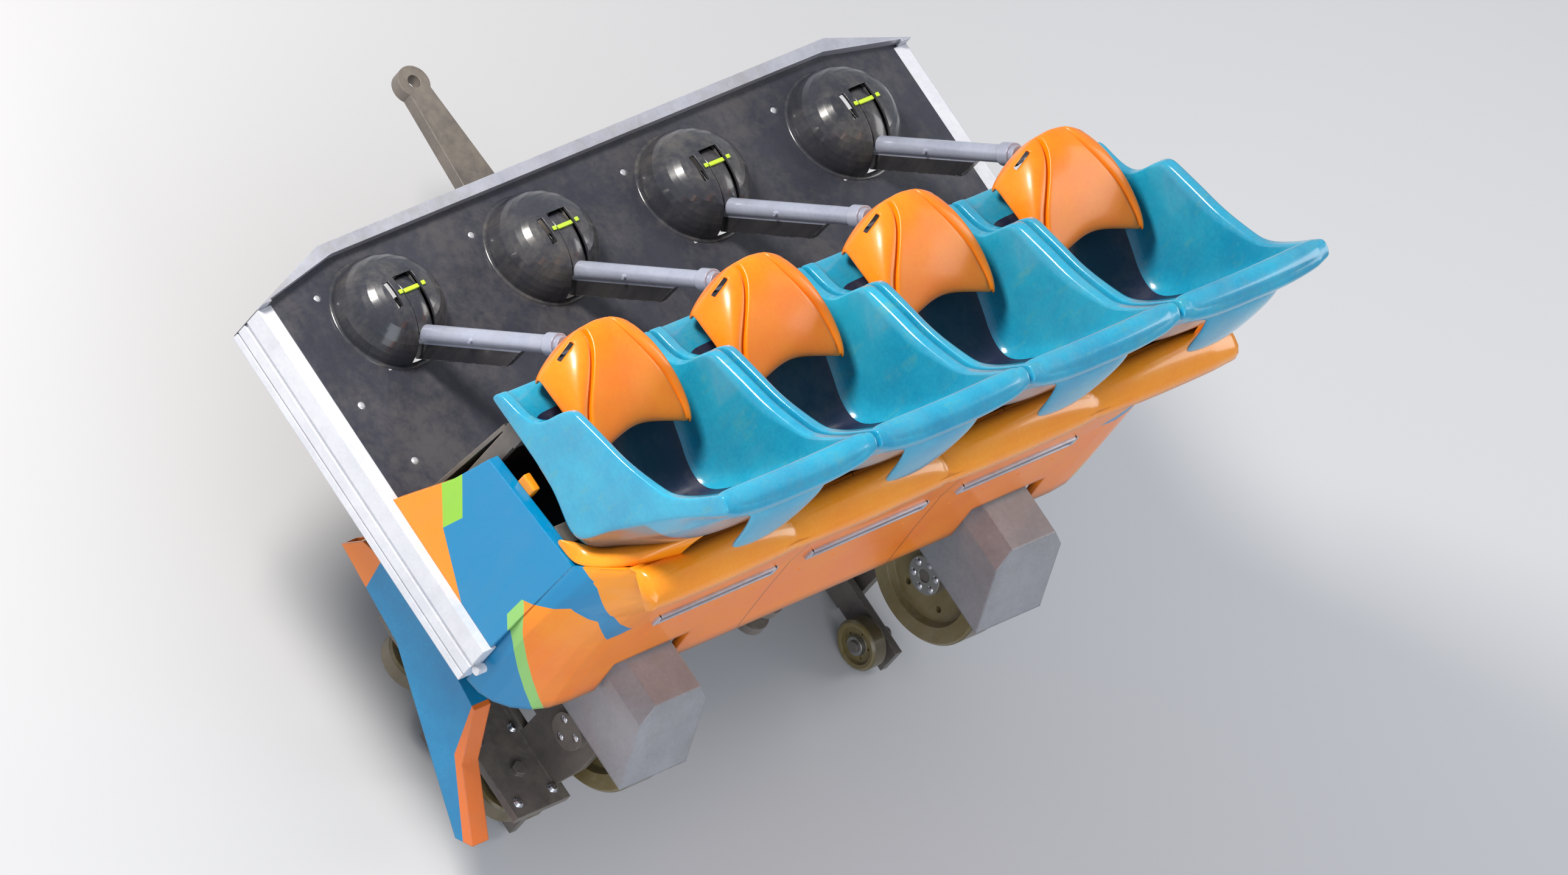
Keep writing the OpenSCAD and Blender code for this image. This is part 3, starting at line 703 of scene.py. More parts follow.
class Shape:
    """A mesh in the making."""

    def __init__(self) -> None:
        """Starts an empty mesh."""
        self.bm = bmesh.new()

    def row(self, points: Iterable[Vector]) -> list[BMVert]:
        """Adds vertices.

        Args:
            points: Their places in the frame.

        Returns:
            The vertices.
        """
        return [self.bm.verts.new(p) for p in points]

    def face(self, *corners: BMVert) -> None:
        """Adds a face.

        Args:
            *corners: Its vertices in turn.
        """
        self.bm.faces.new(corners)

    def skin(self, rows: Rows, closed: bool = False, flip: bool = False) -> None:
        """Joins rows of vertices with faces.

        Args:
            rows: Rows with the same number of vertices.
            closed: Whether every row is a ring.
            flip: Whether the faces turn the other way.
        """
        count = len(rows[0])
        for a, b in zip(rows, rows[1:]):
            for i in range(count if closed else count - 1):
                j = (i + 1) % count
                self.face(*((a[i], b[i], b[j], a[j]) if flip else (a[i], a[j], b[j], b[i])))

    def crease(self, rows: Rows, marks: dict[int, float]) -> None:
        """Sharpens lines that run from row to row.

        Args:
            rows: Rows of vertices.
            marks: Sharpness by place in the row.
        """
        layers = self.bm.edges.layers.float
        layer = layers.get("crease_edge") or layers.new("crease_edge")
        for a, b in zip(rows, rows[1:]):
            for i, value in marks.items():
                self.bm.edges.get((a[i], b[i]))[layer] = value

    def box(self, size: Point, centre: Vector, bevel: float, turn: Matrix | None = None) -> None:
        """Adds a box with bevelled edges.

        Args:
            size: Full size along its own axes.
            centre: Its middle.
            bevel: Bevel width.
            turn: Its turn, if any.
        """
        made = bmesh.ops.create_cube(self.bm, size=1.0)["verts"]
        bmesh.ops.scale(self.bm, vec=size, verts=made)
        edges = list({e for v in made for e in v.link_edges})
        out = bmesh.ops.bevel(self.bm, geom=edges, offset=bevel, segments=2, affect="EDGES", profile=0.7)
        made = list({v for f in out["faces"] for v in f.verts} | {v for v in made if v.is_valid})
        place = Matrix.Translation(centre)
        bmesh.ops.transform(self.bm, matrix=place @ turn if turn else place, verts=made)

    def turned(self, profile: Pairs, matrix: Matrix, steps: int) -> None:
        """Adds a turned solid.

        Args:
            profile: Points (radius, height) from the axis back to the axis.
            matrix: Its place; the axis is its own +Z.
            steps: Number of steps round.
        """
        angles = [2 * math.pi * i / steps for i in range(steps)]
        rings = []
        for r, z in profile:
            spots = [(r * math.cos(a), r * math.sin(a), z) for a in angles] if r else [(0, 0, z)]
            rings.append(self.row(matrix @ Vector(p) for p in spots))
        for a, b in zip(rings, rings[1:]):
            for i in range(steps):
                j = (i + 1) % steps
                quad = [a[i % len(a)], a[j % len(a)], b[j % len(b)], b[i % len(b)]]
                self.face(*dict.fromkeys(quad))

    def piece(self, name: str, material: Material, smooth: bool = True) -> Object:
        """Turns the mesh into an object of the scene and frees it.

        Args:
            name: The object's name.
            material: Its material.
            smooth: Whether faces are shaded smooth.

        Returns:
            The object.
        """
        bmesh.ops.recalc_face_normals(self.bm, faces=self.bm.faces)
        mesh = bpy.data.meshes.new(name)
        self.bm.to_mesh(mesh)
        self.bm.free()
        mesh.materials.append(material)
        if smooth:
            mesh.polygons.foreach_set("use_smooth", [True] * len(mesh.polygons))
        obj = bpy.data.objects.new(name, mesh)
        bpy.context.scene.collection.objects.link(obj)
        return obj


def bake(obj: Object, wall: float = 0.0, smooth: int = 0) -> None:
    """Applies every modifier of an object to its mesh.

    Args:
        obj: The object.
        wall: Thickness added first; 0 for none.
        smooth: Levels of subdivision added after it; 0 for none.
    """
    if wall:
        solid = obj.modifiers.new("wall", "SOLIDIFY")
        solid.thickness, solid.offset = wall, -1.0
    if smooth:
        obj.modifiers.new("smooth", "SUBSURF").levels = smooth
    depsgraph = bpy.context.evaluated_depsgraph_get()
    mesh = bpy.data.meshes.new_from_object(obj.evaluated_get(depsgraph), depsgraph=depsgraph)
    mesh.name = obj.name
    obj.modifiers.clear()
    obj.data = mesh


@dataclass
class Trim:
    """Something built with the shared materials.

    Attributes:
        paint: The material store.
    """

    paint: Paintbox


# Stations of a seat from the pan's front to the back's top, in millimetres: foot
# and top of the side (forward, up), the underside's drop and depth, the pommel.
SEAT_ROWS = (
    (-630, 508, -630, 524, 8, 28, 8), (-645, 522, -645, 540, 22, 46, 18),
    (-700, 524, -702, 550, 22, 54, 26), (-775, 512, -778, 580, 8, 42, 28),
    (-803, 505, -796, 690, 2, 35, 28), (-825, 498, -816, 737, -6, 28, 28),
    (-865, 486, -850, 748, -18, 30, 26), (-940, 458, -905, 764, -44, 30, 20),
    (-1000, 432, -945, 776, -50, 34, 12), (-1070, 428, -985, 786, -30, 40, 6),
    (-1110, 470, -1018, 796, -50, 60, 2), (-1140, 540, -1052, 808, -66, 62, 0),
    (-1170, 620, -1090, 824, -55, 80, 0), (-1200, 710, -1132, 843, -38, 88, 0),
    (-1230, 800, -1174, 864, -22, 84, 0), (-1258, 880, -1216, 922, -10, 74, 0),
    (-1285, 965, -1252, 988, 12, 62, 0), (-1308, 1032, -1280, 1048, 26, 56, 0),
    (-1318, 1052, -1296, 1062, 20, 44, 0),
)
SEAT_INNER = (
    (1.0, 0.94, 0.0), (0.985, 1.0, 0.0), (0.885, 0.98, 0.0), (0.865, 0.56, 0.0), (0.84, 0.20, 0.0),
    (0.76, 0.04, 0.0), (0.52, 0.0, 0.03), (0.24, 0.0, 0.34), (0.10, 0.0, 0.88), (0.0, 0.0, 1.0),
)
SEAT_CREASES = {1: 0.55, 2: 0.7, 4: 0.25}
SEAT_OUTER = ((1.0, 0.0), (0.86, 0.5), (0.68, 0.86), (0.42, 1.0), (0.0, 1.0))
RIM_END = 0.276
RIM_STATIONS = (
    (-RIM_END, 0.020), (-0.268, 0.031), (-0.2, 0.035), (0.0, 0.036), (0.2, 0.035), (0.268, 0.031),
    (RIM_END, 0.020),
)
TAB_ROWS = ((-1.330, 0.985, 0.150), (-1.350, 0.940, 0.140), (-1.352, 0.830, 0.112), (-1.342, 0.722, 0.080))


def lerp_table(table: Pairs, x: float) -> float:
    """Reads a falling table by straight lines.

    Args:
        table: Pairs with falling first numbers.
        x: Where to read, inside the table.

    Returns:
        The value there.
    """
    a, b = next((a, b) for a, b in zip(table, table[1:]) if a[0] >= x >= b[0])
    return a[1] + (b[1] - a[1]) * (a[0] - x) / (a[0] - b[0])


@dataclass
class SeatPart(Trim):
    """Something at one seat.

    Attributes:
        number: Seat number, 1 at the left.
    """

    number: int

    @property
    def middle(self) -> float:
        """The seat's place across the car."""
        return SEAT_Y[self.number - 1]


@dataclass
class SeatShell(SeatPart):
    """A smooth moulded seat on the CAD seat's own stations.

    Attributes:
        width: Width over the wings.
        rim_centre: Middle of the back's rim (ahead, up).
        rim_sag: How far the rim's middle lies behind its ends.
        lift: Height of the liner over the shell.
        tuck: Depth of the liner's edges in the shell.
    """

    width: float = 0.566
    rim_centre: tuple[float, float] = (-1.300, 1.028)
    rim_sag: float = 0.010
    lift: float = 0.006
    tuck: float = 0.004

    def build(self) -> None:
        """Builds the shell with its rim and skirt tab, and the liner."""
        shape = Shape()
        rings = [self._add_row(shape, row, self._ring) for row in SEAT_ROWS]
        half = len(rings[0]) // 2
        shape.skin(rings, closed=True)
        shape.crease(rings, {i: v for k, v in SEAT_CREASES.items() for i in (k, half - 1 - k)})
        for ring in (rings[0], rings[-1]):
            for i in range(half - 1):
                shape.face(ring[i], ring[i + 1], ring[-2 - i], ring[-1 - i])
        self._tab(shape)
        self._rim(shape)
        # The seat material carries painted shade on the rear-facing outer back.
        material = self.paint.custom("seat_teal_moulding", TEAL, seat_colour)
        obj = shape.piece(f"seat_shell_{self.number}", material)
        bake(obj, smooth=2)
        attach(obj, BODY)
        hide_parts(f"seat_{self.number}")
        self._liner()

    def _liner(self) -> None:
        """Builds the dark liner that covers the pan and the back: partly the seat's own dark navy inside,
        partly painted shade of the deep seat.
        """
        shape = Shape()
        rows = SEAT_ROWS[2:18]
        lifts = (-self.tuck, *[self.lift] * (len(rows) - 2), -self.tuck)
        sections = [partial(self._lining, lift) for lift in lifts]
        shape.skin([self._add_row(shape, row, section) for row, section in zip(rows, sections)])
        obj = shape.piece(f"seat_liner_{self.number}", self.paint.plain(SEAT_LINER_AND_SHADE))
        bake(obj, smooth=2)
        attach(obj, BODY)

    def _add_row(self, shape: Shape, row: Sequence[int], section: Callable[..., Pairs]) -> list[BMVert]:
        """Adds one row of the cage.

        Args:
            shape: The mesh.
            row: The station's numbers.
            section: Takes the side's rise, the drop, the depth and the pommel, gives points
                (share of the half width, height along the side).

        Returns:
            The row's vertices.
        """
        pf, pu, tf, tu, *rest = (v / 1000 for v in row)
        rise = math.hypot(tf - pf, tu - pu)
        df, du = (tf - pf) / rise, (tu - pu) / rise
        points = section(rise, *rest)
        return shape.row(car(pf + df * h, self.middle + s * self.width / 2, pu + du * h) for s, h in points)

    @staticmethod
    def _ring(rise: float, drop: float, depth: float, pommel: float) -> Pairs:
        """Section of the shell: inner face from side to side, then outer face back."""
        shares = [s for s, _, _ in SEAT_INNER]
        inner = [h * rise + p * pommel for _, h, p in SEAT_INNER]
        outer = [-drop - (depth - drop) * lerp_table(SEAT_OUTER, s) for s in shares]
        across = [*shares, *[-s for s in reversed(shares[:-1])]]
        tops = [*inner, *reversed(inner[:-1])]
        lows = [*outer, *reversed(outer[:-1])]
        return [*zip(across, tops), *reversed([*zip(across, lows)])]

    def _lining(self, lift: float, rise: float, _drop: float, _depth: float, pommel: float) -> Pairs:
        """Section of the liner, lifted off the shell's inner face."""
        half = [(s, h * rise + p * pommel + lift) for s, h, p in reversed(SEAT_INNER) if s < 0.8]
        half += [(0.805, 0.075 * rise + lift), (0.832, 0.15 * rise - self.tuck)]
        return [(-s, h) for s, h in reversed(half[1:])] + half

    def _rim(self, shape: Shape) -> None:
        """Adds the thick rounded rim along the back's top.

        Args:
            shape: The mesh.
        """
        ahead, up = self.rim_centre
        angles = [k * math.pi / 4 for k in range(8)]
        loops = []
        for y, r in RIM_STATIONS:
            f = ahead - self.rim_sag * math.cos(y / RIM_END * math.pi / 2)
            ring = [(f + r * 1.15 * math.cos(a), up + r * 0.95 * math.sin(a)) for a in angles]
            loops.append(shape.row(car(f, self.middle + y, u) for f, u in ring))
        shape.skin(loops, closed=True)
        shape.face(*loops[0])
        shape.face(*loops[-1])

    def _tab(self, shape: Shape) -> None:
        """Adds the tapered skirt tab behind the back.

        Args:
            shape: The mesh.
        """
        front, back = (
            [
                shape.row(car(f + d, self.middle + k * w, u) for k, d in zip((-1, -0.4, 0.4, 1), depths))
                for f, u, w in TAB_ROWS
            ]
            for depths in ((0.016,) * 4, (0.0, -0.010, -0.010, 0.0))
        )
        shape.skin(front)
        shape.skin(back)
        for i in range(3):
            for row in (0, -1):
                shape.face(front[row][i], front[row][i + 1], back[row][i + 1], back[row][i])
        for a, b, c, d in zip(front, front[1:], back, back[1:]):
            for k in (0, 3):
                shape.face(a[k], b[k], d[k], c[k])


# Stations of a pad from its front bottom edge to its rear edge: centre, main
# facet's edge, middle of the side facet and outer edge, as (forward, across, up).
PAD_ROWS = (
    ((-0.592, 0.0, 0.548), (-0.594, 0.045, 0.548), (-0.614, 0.112, 0.540), (-0.655, 0.176, 0.534)),
    ((-0.586, 0.0, 0.632), (-0.588, 0.047, 0.628), (-0.608, 0.118, 0.606), (-0.650, 0.190, 0.578)),
    ((-0.598, 0.0, 0.706), (-0.602, 0.044, 0.702), (-0.622, 0.122, 0.682), (-0.662, 0.190, 0.584)),
    ((-0.656, 0.0, 0.722), (-0.660, 0.052, 0.714), (-0.690, 0.144, 0.698), (-0.716, 0.200, 0.596)),
    ((-0.735, 0.0, 0.690), (-0.738, 0.100, 0.690), (-0.752, 0.165, 0.680), (-0.780, 0.201, 0.606)),
    ((-0.800, 0.0, 0.662), (-0.802, 0.138, 0.657), (-0.812, 0.184, 0.650), (-0.838, 0.204, 0.604)),
    ((-0.848, 0.0, 0.638), (-0.868, 0.160, 0.622), (-0.876, 0.192, 0.618), (-0.892, 0.204, 0.598)),
    ((-0.884, 0.0, 0.612), (-0.926, 0.174, 0.592), (-0.932, 0.186, 0.588), (-0.936, 0.192, 0.580)),
)
PAD_CREASES = {1: 0.7, 2: 0.9, 3: 0.6}
PAD_GROOVE = ((0.004, -0.020), (0.014, -0.006))
PAD_BENDS = {2: 0.35, 5: 0.3}


@dataclass
class LapPad(SeatPart):
    """A faceted clamshell pad with hand-holds.

    Attributes:
        wall: Thickness of the shell.
        hold: Size of a hand-hold's cutter.
        hold_at: Its middle, with the distance from the seat's middle.
        hold_facing: The way it cuts, for the left one.
    """

    wall: float = 0.018
    hold: Point = (0.062, 0.012, 0.09)
    hold_at: Point = (-0.642, 0.124, 0.672)
    hold_facing: Point = (-0.30, 0.62, -0.45)

    def build(self) -> None:
        """Builds the pad shell and cuts its hand-holds."""
        shape = Shape()
        grid = []
        for row in PAD_ROWS:
            points = self._station(row)
            left, right = (
                shape.row(car(f, self.middle + side.value * y, u) for f, y, u in points[skip:])
                for side, skip in ((Side.LEFT, 0), (Side.RIGHT, 1))
            )
            grid.append([*reversed(right), *left])
        shape.skin(grid)
        middle = len(grid[0]) // 2
        marks = {i: v for k, v in PAD_CREASES.items() for i in (middle - k - 1, middle + k + 1)}
        shape.crease(grid[1:], marks)
        shape.crease(list(zip(*grid)), PAD_BENDS)
        obj = shape.piece(f"lap_pad_shell_{self.number}", self.paint.plain(ORANGE))
        bake(obj, wall=self.wall, smooth=3)
        self._cut_holds(obj)
        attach(obj, f"lap_bar_{self.number}")
        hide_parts(f"lap_pad_{self.number}")

    @staticmethod
    def _station(row: Sequence[Point]) -> list[Point]:
        """Turns one station into cage points with the groove beside the main facet.

        Args:
            row: The station's four points.

        Returns:
            Seven points from the centre outwards.
        """
        centre, edge, side, outer = row
        half = tuple((a + b) / 2 for a, b in zip(centre, edge))
        spread = min(1.0, (side[1] - edge[1]) / 0.03)
        groove = [(edge[0], edge[1] + dy * spread, edge[2] + dz * spread) for dy, dz in PAD_GROOVE]
        return [centre, half, edge, *groove, side, outer]

    def _cut_holds(self, obj: Object) -> None:
        """Cuts the two slit hand-holds through the side facets.

        Args:
            obj: The pad.
        """
        shape = Shape()
        (f, y, u), (ahead, out, up) = self.hold_at, self.hold_facing
        for s in (1, -1):
            turn = Vector((ahead, s * out, up)).to_track_quat("X", "Z").to_matrix().to_4x4()
            shape.box(self.hold, car(f, self.middle + s * y, u), 0.005, turn)
        cutter = shape.piece(f"cutter_{self.number}", self.paint.plain(ORANGE))
        boolean = obj.modifiers.new("holds", "BOOLEAN")
        boolean.object, boolean.operation, boolean.solver = cutter, "DIFFERENCE", "EXACT"
        bake(obj)
        bpy.data.objects.remove(cutter, do_unlink=True)


@dataclass
class SlotShield(SeatPart):
    """The curved cover that rides a lap bar and closes its slot in the dome.

    Attributes:
        reach: Distance of the cover from the pivot at the bar.
        growth: How much further out it is per degree ahead.
        full: Angle where the growth ends, in degrees.
        wall: Its thickness.
        strip: Size of the lime strip.
        strip_ahead: Angle of the strip, in degrees.
        strip_reach: Distance of the strip from the pivot.
    """

    reach: float = 0.162
    growth: float = 0.0004
    full: float = 46.0
    wall: float = 0.003
    strip: Point = (0.012, 0.052, 0.007)
    strip_ahead: float = 43.5
    strip_reach: float = 0.1825

    def build(self) -> None:
        """Builds the cover and the lime strip on it."""
        shape = Shape()
        rows = []
        for ahead in range(2, 61, 2):
            reach = self.reach + self.growth * min(ahead, self.full)
            rows.append(shape.row(self._at(ahead, reach - drop, y) for y, drop in SHIELD_SECTION))
        shape.skin(rows, flip=True)
        cover = shape.piece(f"slot_cover_{self.number}", self.paint.plain(HUMP))
        bake(cover, wall=self.wall)
        shape = Shape()
        turn = Matrix.Rotation(math.radians(self.strip_ahead) - BAR_LEAN, 4, "Y")
        shape.box(self.strip, self._at(self.strip_ahead, self.strip_reach, 0.0), 0.0015, turn)
        strip = shape.piece(f"cover_strip_{self.number}", self.paint.plain(LIME))
        for obj in (cover, strip):
            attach(obj, f"lap_bar_{self.number}")

    def _at(self, ahead: float, reach: float, y: float) -> Vector:
        """A point round the bar's pivot.

        Args:
            ahead: Angle ahead of the bar, in degrees.
            reach: Distance from the pivot.
            y: Distance left of the seat's middle.

        Returns:
            The point.
        """
        turn = math.radians(ahead) - BAR_LEAN
        return car(PIVOT[0] + reach * math.sin(turn), self.middle + y, PIVOT[1] + reach * math.cos(turn))


@dataclass
class FastenerField:
    """Many like heads, placed by Geometry Nodes on a list of points.

    Attributes:
        name: The object's name.
        points: Places of the heads in the frame.
        direction: Way the heads face.
        profile: Turned outline of one head, from its top down.
        steps: Sides of a head.
    """

    name: str
    points: Sequence[Vector]
    direction: Vector
    profile: Pairs
    steps: int = 20

    def build(self, material: Material) -> Object:
        """Scatters the head over the points.

        Args:
            material: The heads' material.

        Returns:
            One plain mesh object.
        """
        shape = Shape()
        facing = self.direction.to_track_quat("Z", "Y").to_matrix().to_4x4()
        shape.turned(self.profile, facing, self.steps)
        head = shape.piece(f"{self.name}_head", material)
        mesh = bpy.data.meshes.new(self.name)
        mesh.from_pydata([tuple(p) for p in self.points], [], [])
        obj = bpy.data.objects.new(self.name, mesh)
        bpy.context.scene.collection.objects.link(obj)
        modifier = obj.modifiers.new("heads", "NODES")
        modifier.node_group, names = self._tree()
        modifier[names["Head"]] = head
        modifier[names["Material"]] = material
        bake(obj)
        bpy.data.objects.remove(head, do_unlink=True)
        obj.data.polygons.foreach_set("use_smooth", [True] * len(obj.data.polygons))
        return obj

    @staticmethod
    def _tree() -> tuple[NodeTree, dict[str, str]]:
        """Makes or returns the shared scatter tree.

        Returns:
            The tree and its input identifiers by name.
        """
        tree = bpy.data.node_groups.get("fastener_field")
        if tree is None:
            tree = bpy.data.node_groups.new("fastener_field", "GeometryNodeTree")
            sockets = (("Points", "Geometry"), ("Head", "Object"), ("Material", "Material"))
            for name, kind in sockets:
                tree.interface.new_socket(name, in_out="INPUT", socket_type=f"NodeSocket{kind}")
            tree.interface.new_socket("Heads", in_out="OUTPUT", socket_type="NodeSocketGeometry")
            t = Tree(tree)
            gin = t.node("NodeGroupInput").outputs
            info = t.node("GeometryNodeObjectInfo", in_Object=gin["Head"], in_As_Instance=True)
            head = info.outputs["Geometry"]
            spread = t.node("GeometryNodeInstanceOnPoints", in_Points=gin["Points"], in_Instance=head)
            real = t.node("GeometryNodeRealizeInstances", in_Geometry=spread.outputs[0])
            paint = t.node("GeometryNodeSetMaterial", in_0=real.outputs[0], in_Material=gin["Material"])
            t.node("NodeGroupOutput", in_0=paint.outputs[0])
        names = {s.name: s.identifier for s in tree.interface.items_tree if s.in_out == "INPUT"}
        return tree, names


SCREW_HEAD = ((0.0, 0.004), (0.006, 0.0038), (0.0105, 0.0016), (0.0115, 0.0))
BOLT_HEAD = ((0.0, 0.010), (0.010, 0.010), (0.0125, 0.0085), (0.0125, 0.002), (0.017, 0.002), (0.017, 0.0))
RIVET_HEAD = ((0.0, 0.0024), (0.0035, 0.0020), (0.006, 0.0))
FLANGE = ((0.157, 0.004), (0.168, 0.005), (0.174, 0.003), (0.175, 0.0))
BRUSH_LINE = (
    (-0.104, 0.138), (-0.16, 0.139), (-0.22, 0.118), (-0.27, 0.082), (-0.300, 0.034), (-0.306, 0.004),
)
SHIELD_SECTION = ((-0.0268, 0.003), (-0.022, 0.0), (0.022, 0.0), (0.0268, 0.003))


@dataclass
class FloorTrim(Trim):
    """Screws, lime strips, brush seals and flanges on the floor and humps.

    Attributes:
        hump_screw: Screw beside a hump, from the seat's middle.
        seat_screws: Place ahead and half spacing of the two screws under a seat.
        row_at: Place ahead of the row of screws across the floor.
        row: Their places across.
        mark: Size of a lime strip.
        mark_at: Its middle, from the hump's.
        hump_at: Place ahead of the humps' centres.
        brush: Distance of a brush's outer and inner edge from the hump's middle.
    """

    hump_screw: Point = (-0.035, 0.172, -0.0035)
    seat_screws: tuple[float, float] = (-0.56, 0.2)
    row_at: float = -0.36
    row: tuple[float, ...] = (1.12, 0.58, 0.0, -0.58, -1.12)
    mark: Point = (0.012, 0.012, 0.004)
    mark_at: Point = (-0.153, 0.0418, 0.1505)
    hump_at: float = -0.150
    brush: tuple[float, float] = (0.0345, 0.0285)

    def build(self) -> None:
        """Builds every floor fitting."""
        (f, out, u), (ahead, half) = self.hump_screw, self.seat_screws
        spots = [car(f, y + out, u) for y in SEAT_Y]
        spots += [car(ahead, y + d, 0.0) for y in SEAT_Y for d in (-half, half)]
        spots += [car(self.row_at, y, 0.0) for y in self.row]
        up = Vector((0, 0, 1))
        screws = FastenerField("floor_screws", spots, up, SCREW_HEAD).build(self.paint.plain(SCREW))
        f, out, u = self.mark_at
        marks, seals, rings = Shape(), Shape(), Shape()
        for y in SEAT_Y:
            for s in (1, -1):
                marks.box(self.mark, car(f, y + s * out, u), 0.001)
                self._brush(seals, y, s)
            rings.turned(FLANGE, Matrix.Translation(car(self.hump_at, y, 0.0)), 64)
        strips = marks.piece("lime_strips", self.paint.plain(LIME))
        brush = seals.piece("slot_brushes", self.paint.plain(RUBBER))
        flange = rings.piece("hump_flanges", self.paint.plain(HUMP))
        for obj in (screws, strips, brush, flange):
            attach(obj, BODY)

    def _brush(self, shape: Shape, y: float, s: int) -> None:
        """Adds one brush strip under a hump's slot.

        Args:
            shape: The mesh.
            y: The hump's centre.
            s: 1 for the strip at the left, -1 for the other.
        """
        outer = shape.row(car(f, y + s * self.brush[0], u - 0.006) for f, u in BRUSH_LINE)
        inner = shape.row(car(f + 0.002, y + s * self.brush[1], u - 0.010) for f, u in BRUSH_LINE)
        shape.skin((outer, inner))


# Stations of a shoulder: place ahead, then its outer and inner edge (out, up).
SHOULDER_ROWS = (
    (-1.040, 1.161, 0.404, 1.150, 0.416), (-1.075, 1.160, 0.406, 1.120, 0.440),
    (-1.115, 1.158, 0.410, 1.080, 0.450), (-1.150, 1.152, 0.448, 1.062, 0.520),
    (-1.190, 1.136, 0.500, 1.040, 0.590), (-1.225, 1.104, 0.545, 1.015, 0.640),
    (-1.245, 1.060, 0.566, 0.985, 0.668), (-1.262, 0.985, 0.572, 0.930, 0.690),
)
# Section of the ledge: (ahead, up), and how far the swell moves each.
LEDGE_SECTION = (
    (-1.238, 0.561, 0.0, 0.0), (-1.250, 0.566, 0.0, 0.030), (-1.275, 0.570, 0.0, 0.042),
    (-1.305, 0.570, 0.0, 0.036), (-1.330, 0.566, -0.006, 0.020), (-1.344, 0.553, -0.012, 0.004),
    (-1.350, 0.528, -0.010, 0.0), (-1.3405, 0.505, 0.0, 0.0),
)


@dataclass
class TubTrim(Trim):
    """Drain frames, rivets, ledge pieces and shoulders on the rear shell.

    Attributes:
        face: Place ahead of the shell's back.
        long_side: Size of a drain frame's long side.
        long_at: Heights of the two long sides.
        short_side: Size of a short side.
        short_at: Distance of a short side from the drain's middle, and its height.
        rivets: Places of the rivets from the drain's middle.
        rivet_height: Their height.
        swell: How far a shoulder swells.
        wall: Thickness of a shoulder.
        bracket: Size of the bracket on a side wall.
        bracket_at: Its middle, at the left.
    """

    face: float = -1.275
    long_side: Point = (0.014, 0.448, 0.007)
    long_at: tuple[float, float] = (0.1695, 0.1365)
    short_side: Point = (0.014, 0.012, 0.040)
    short_at: tuple[float, float] = (0.2205, 0.153)
    rivets: tuple[float, ...] = (-0.2, -0.07, 0.07, 0.2)
    rivet_height: float = 0.06
    swell: float = 0.018
    wall: float = 0.006
    bracket: Point = (0.055, 0.026, 0.05)
    bracket_at: Point = (-0.86, 1.118, 0.386)

    def build(self) -> None:
        """Builds the rear shell's fittings."""
        shape = Shape()
        for y in DRAIN_Y:
            for u in self.long_at:
                shape.box(self.long_side, car(self.face, y, u), 0.0025)
            for s in (1, -1):
                shape.box(self.short_side, car(self.face, y + s * self.short_at[0], self.short_at[1]), 0.0025)
        frames = shape.piece("drain_frames", self.paint.plain(RIM))
        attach(frames, BODY)
        points = [car(self.face, y + d, self.rivet_height) for y in DRAIN_Y for d in self.rivets]
        back = Vector((-1, 0, 0.04))
        rivets = FastenerField("tub_rivets", points, back, RIVET_HEAD).build(self.paint.plain(ORANGE))
        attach(rivets, BODY)
        self._scallops()
        self._shoulders()

    def _shoulders(self) -> None:
        """Builds the two sloping shoulders between the side walls and the seats."""
        shape = Shape()
        shares = [k / 5 for k in range(6)]
        for s in (1, -1):
            rows = []
            for f, y0, u0, y1, u1 in SHOULDER_ROWS:
                fade = min(1.0, (-f - 0.70) / 0.4)
                points = []
                for v in shares:
                    swell = self.swell * math.sin(math.pi * v) * fade
                    points.append(car(f, s * (y0 + (y1 - y0) * v + swell * 0.5), u0 + (u1 - u0) * v + swell))
                rows.append(shape.row(points))
            shape.skin(rows, flip=s < 0)
            f, y, u = self.bracket_at
            shape.box(self.bracket, car(f, s * y, u), 0.006)
        # Painted sunlight: the shoulders take the lighter ledge orange.
        obj = shape.piece("tub_shoulders", self.paint.plain(LEDGE))
        bake(obj, wall=self.wall, smooth=2)
        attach(obj, BODY)

    def _scallops(self) -> None:
        """Builds the ledge's four swollen pieces, one behind each seat."""
        shape = Shape()
        rows = []
        for i in range(141):
            y = -1.12 + i * 0.016
            swell = abs(math.cos(math.pi * y / DRAIN_Y[-1] + math.pi / 2)) ** 0.45
            swell *= min(1.0, (1.145 - abs(y)) / 0.12) ** 0.5
            rows.append(shape.row(car(f + a * swell, y, u + b * swell) for f, u, a, b in LEDGE_SECTION))
        shape.skin(rows, flip=True)
        for end in (rows[0], rows[-1]):
            shape.face(*end)
        # Painted sunlight: the ledge pieces take the lighter ledge orange.
        ledge = shape.piece("ledge_pieces", self.paint.plain(LEDGE))
        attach(ledge, BODY)


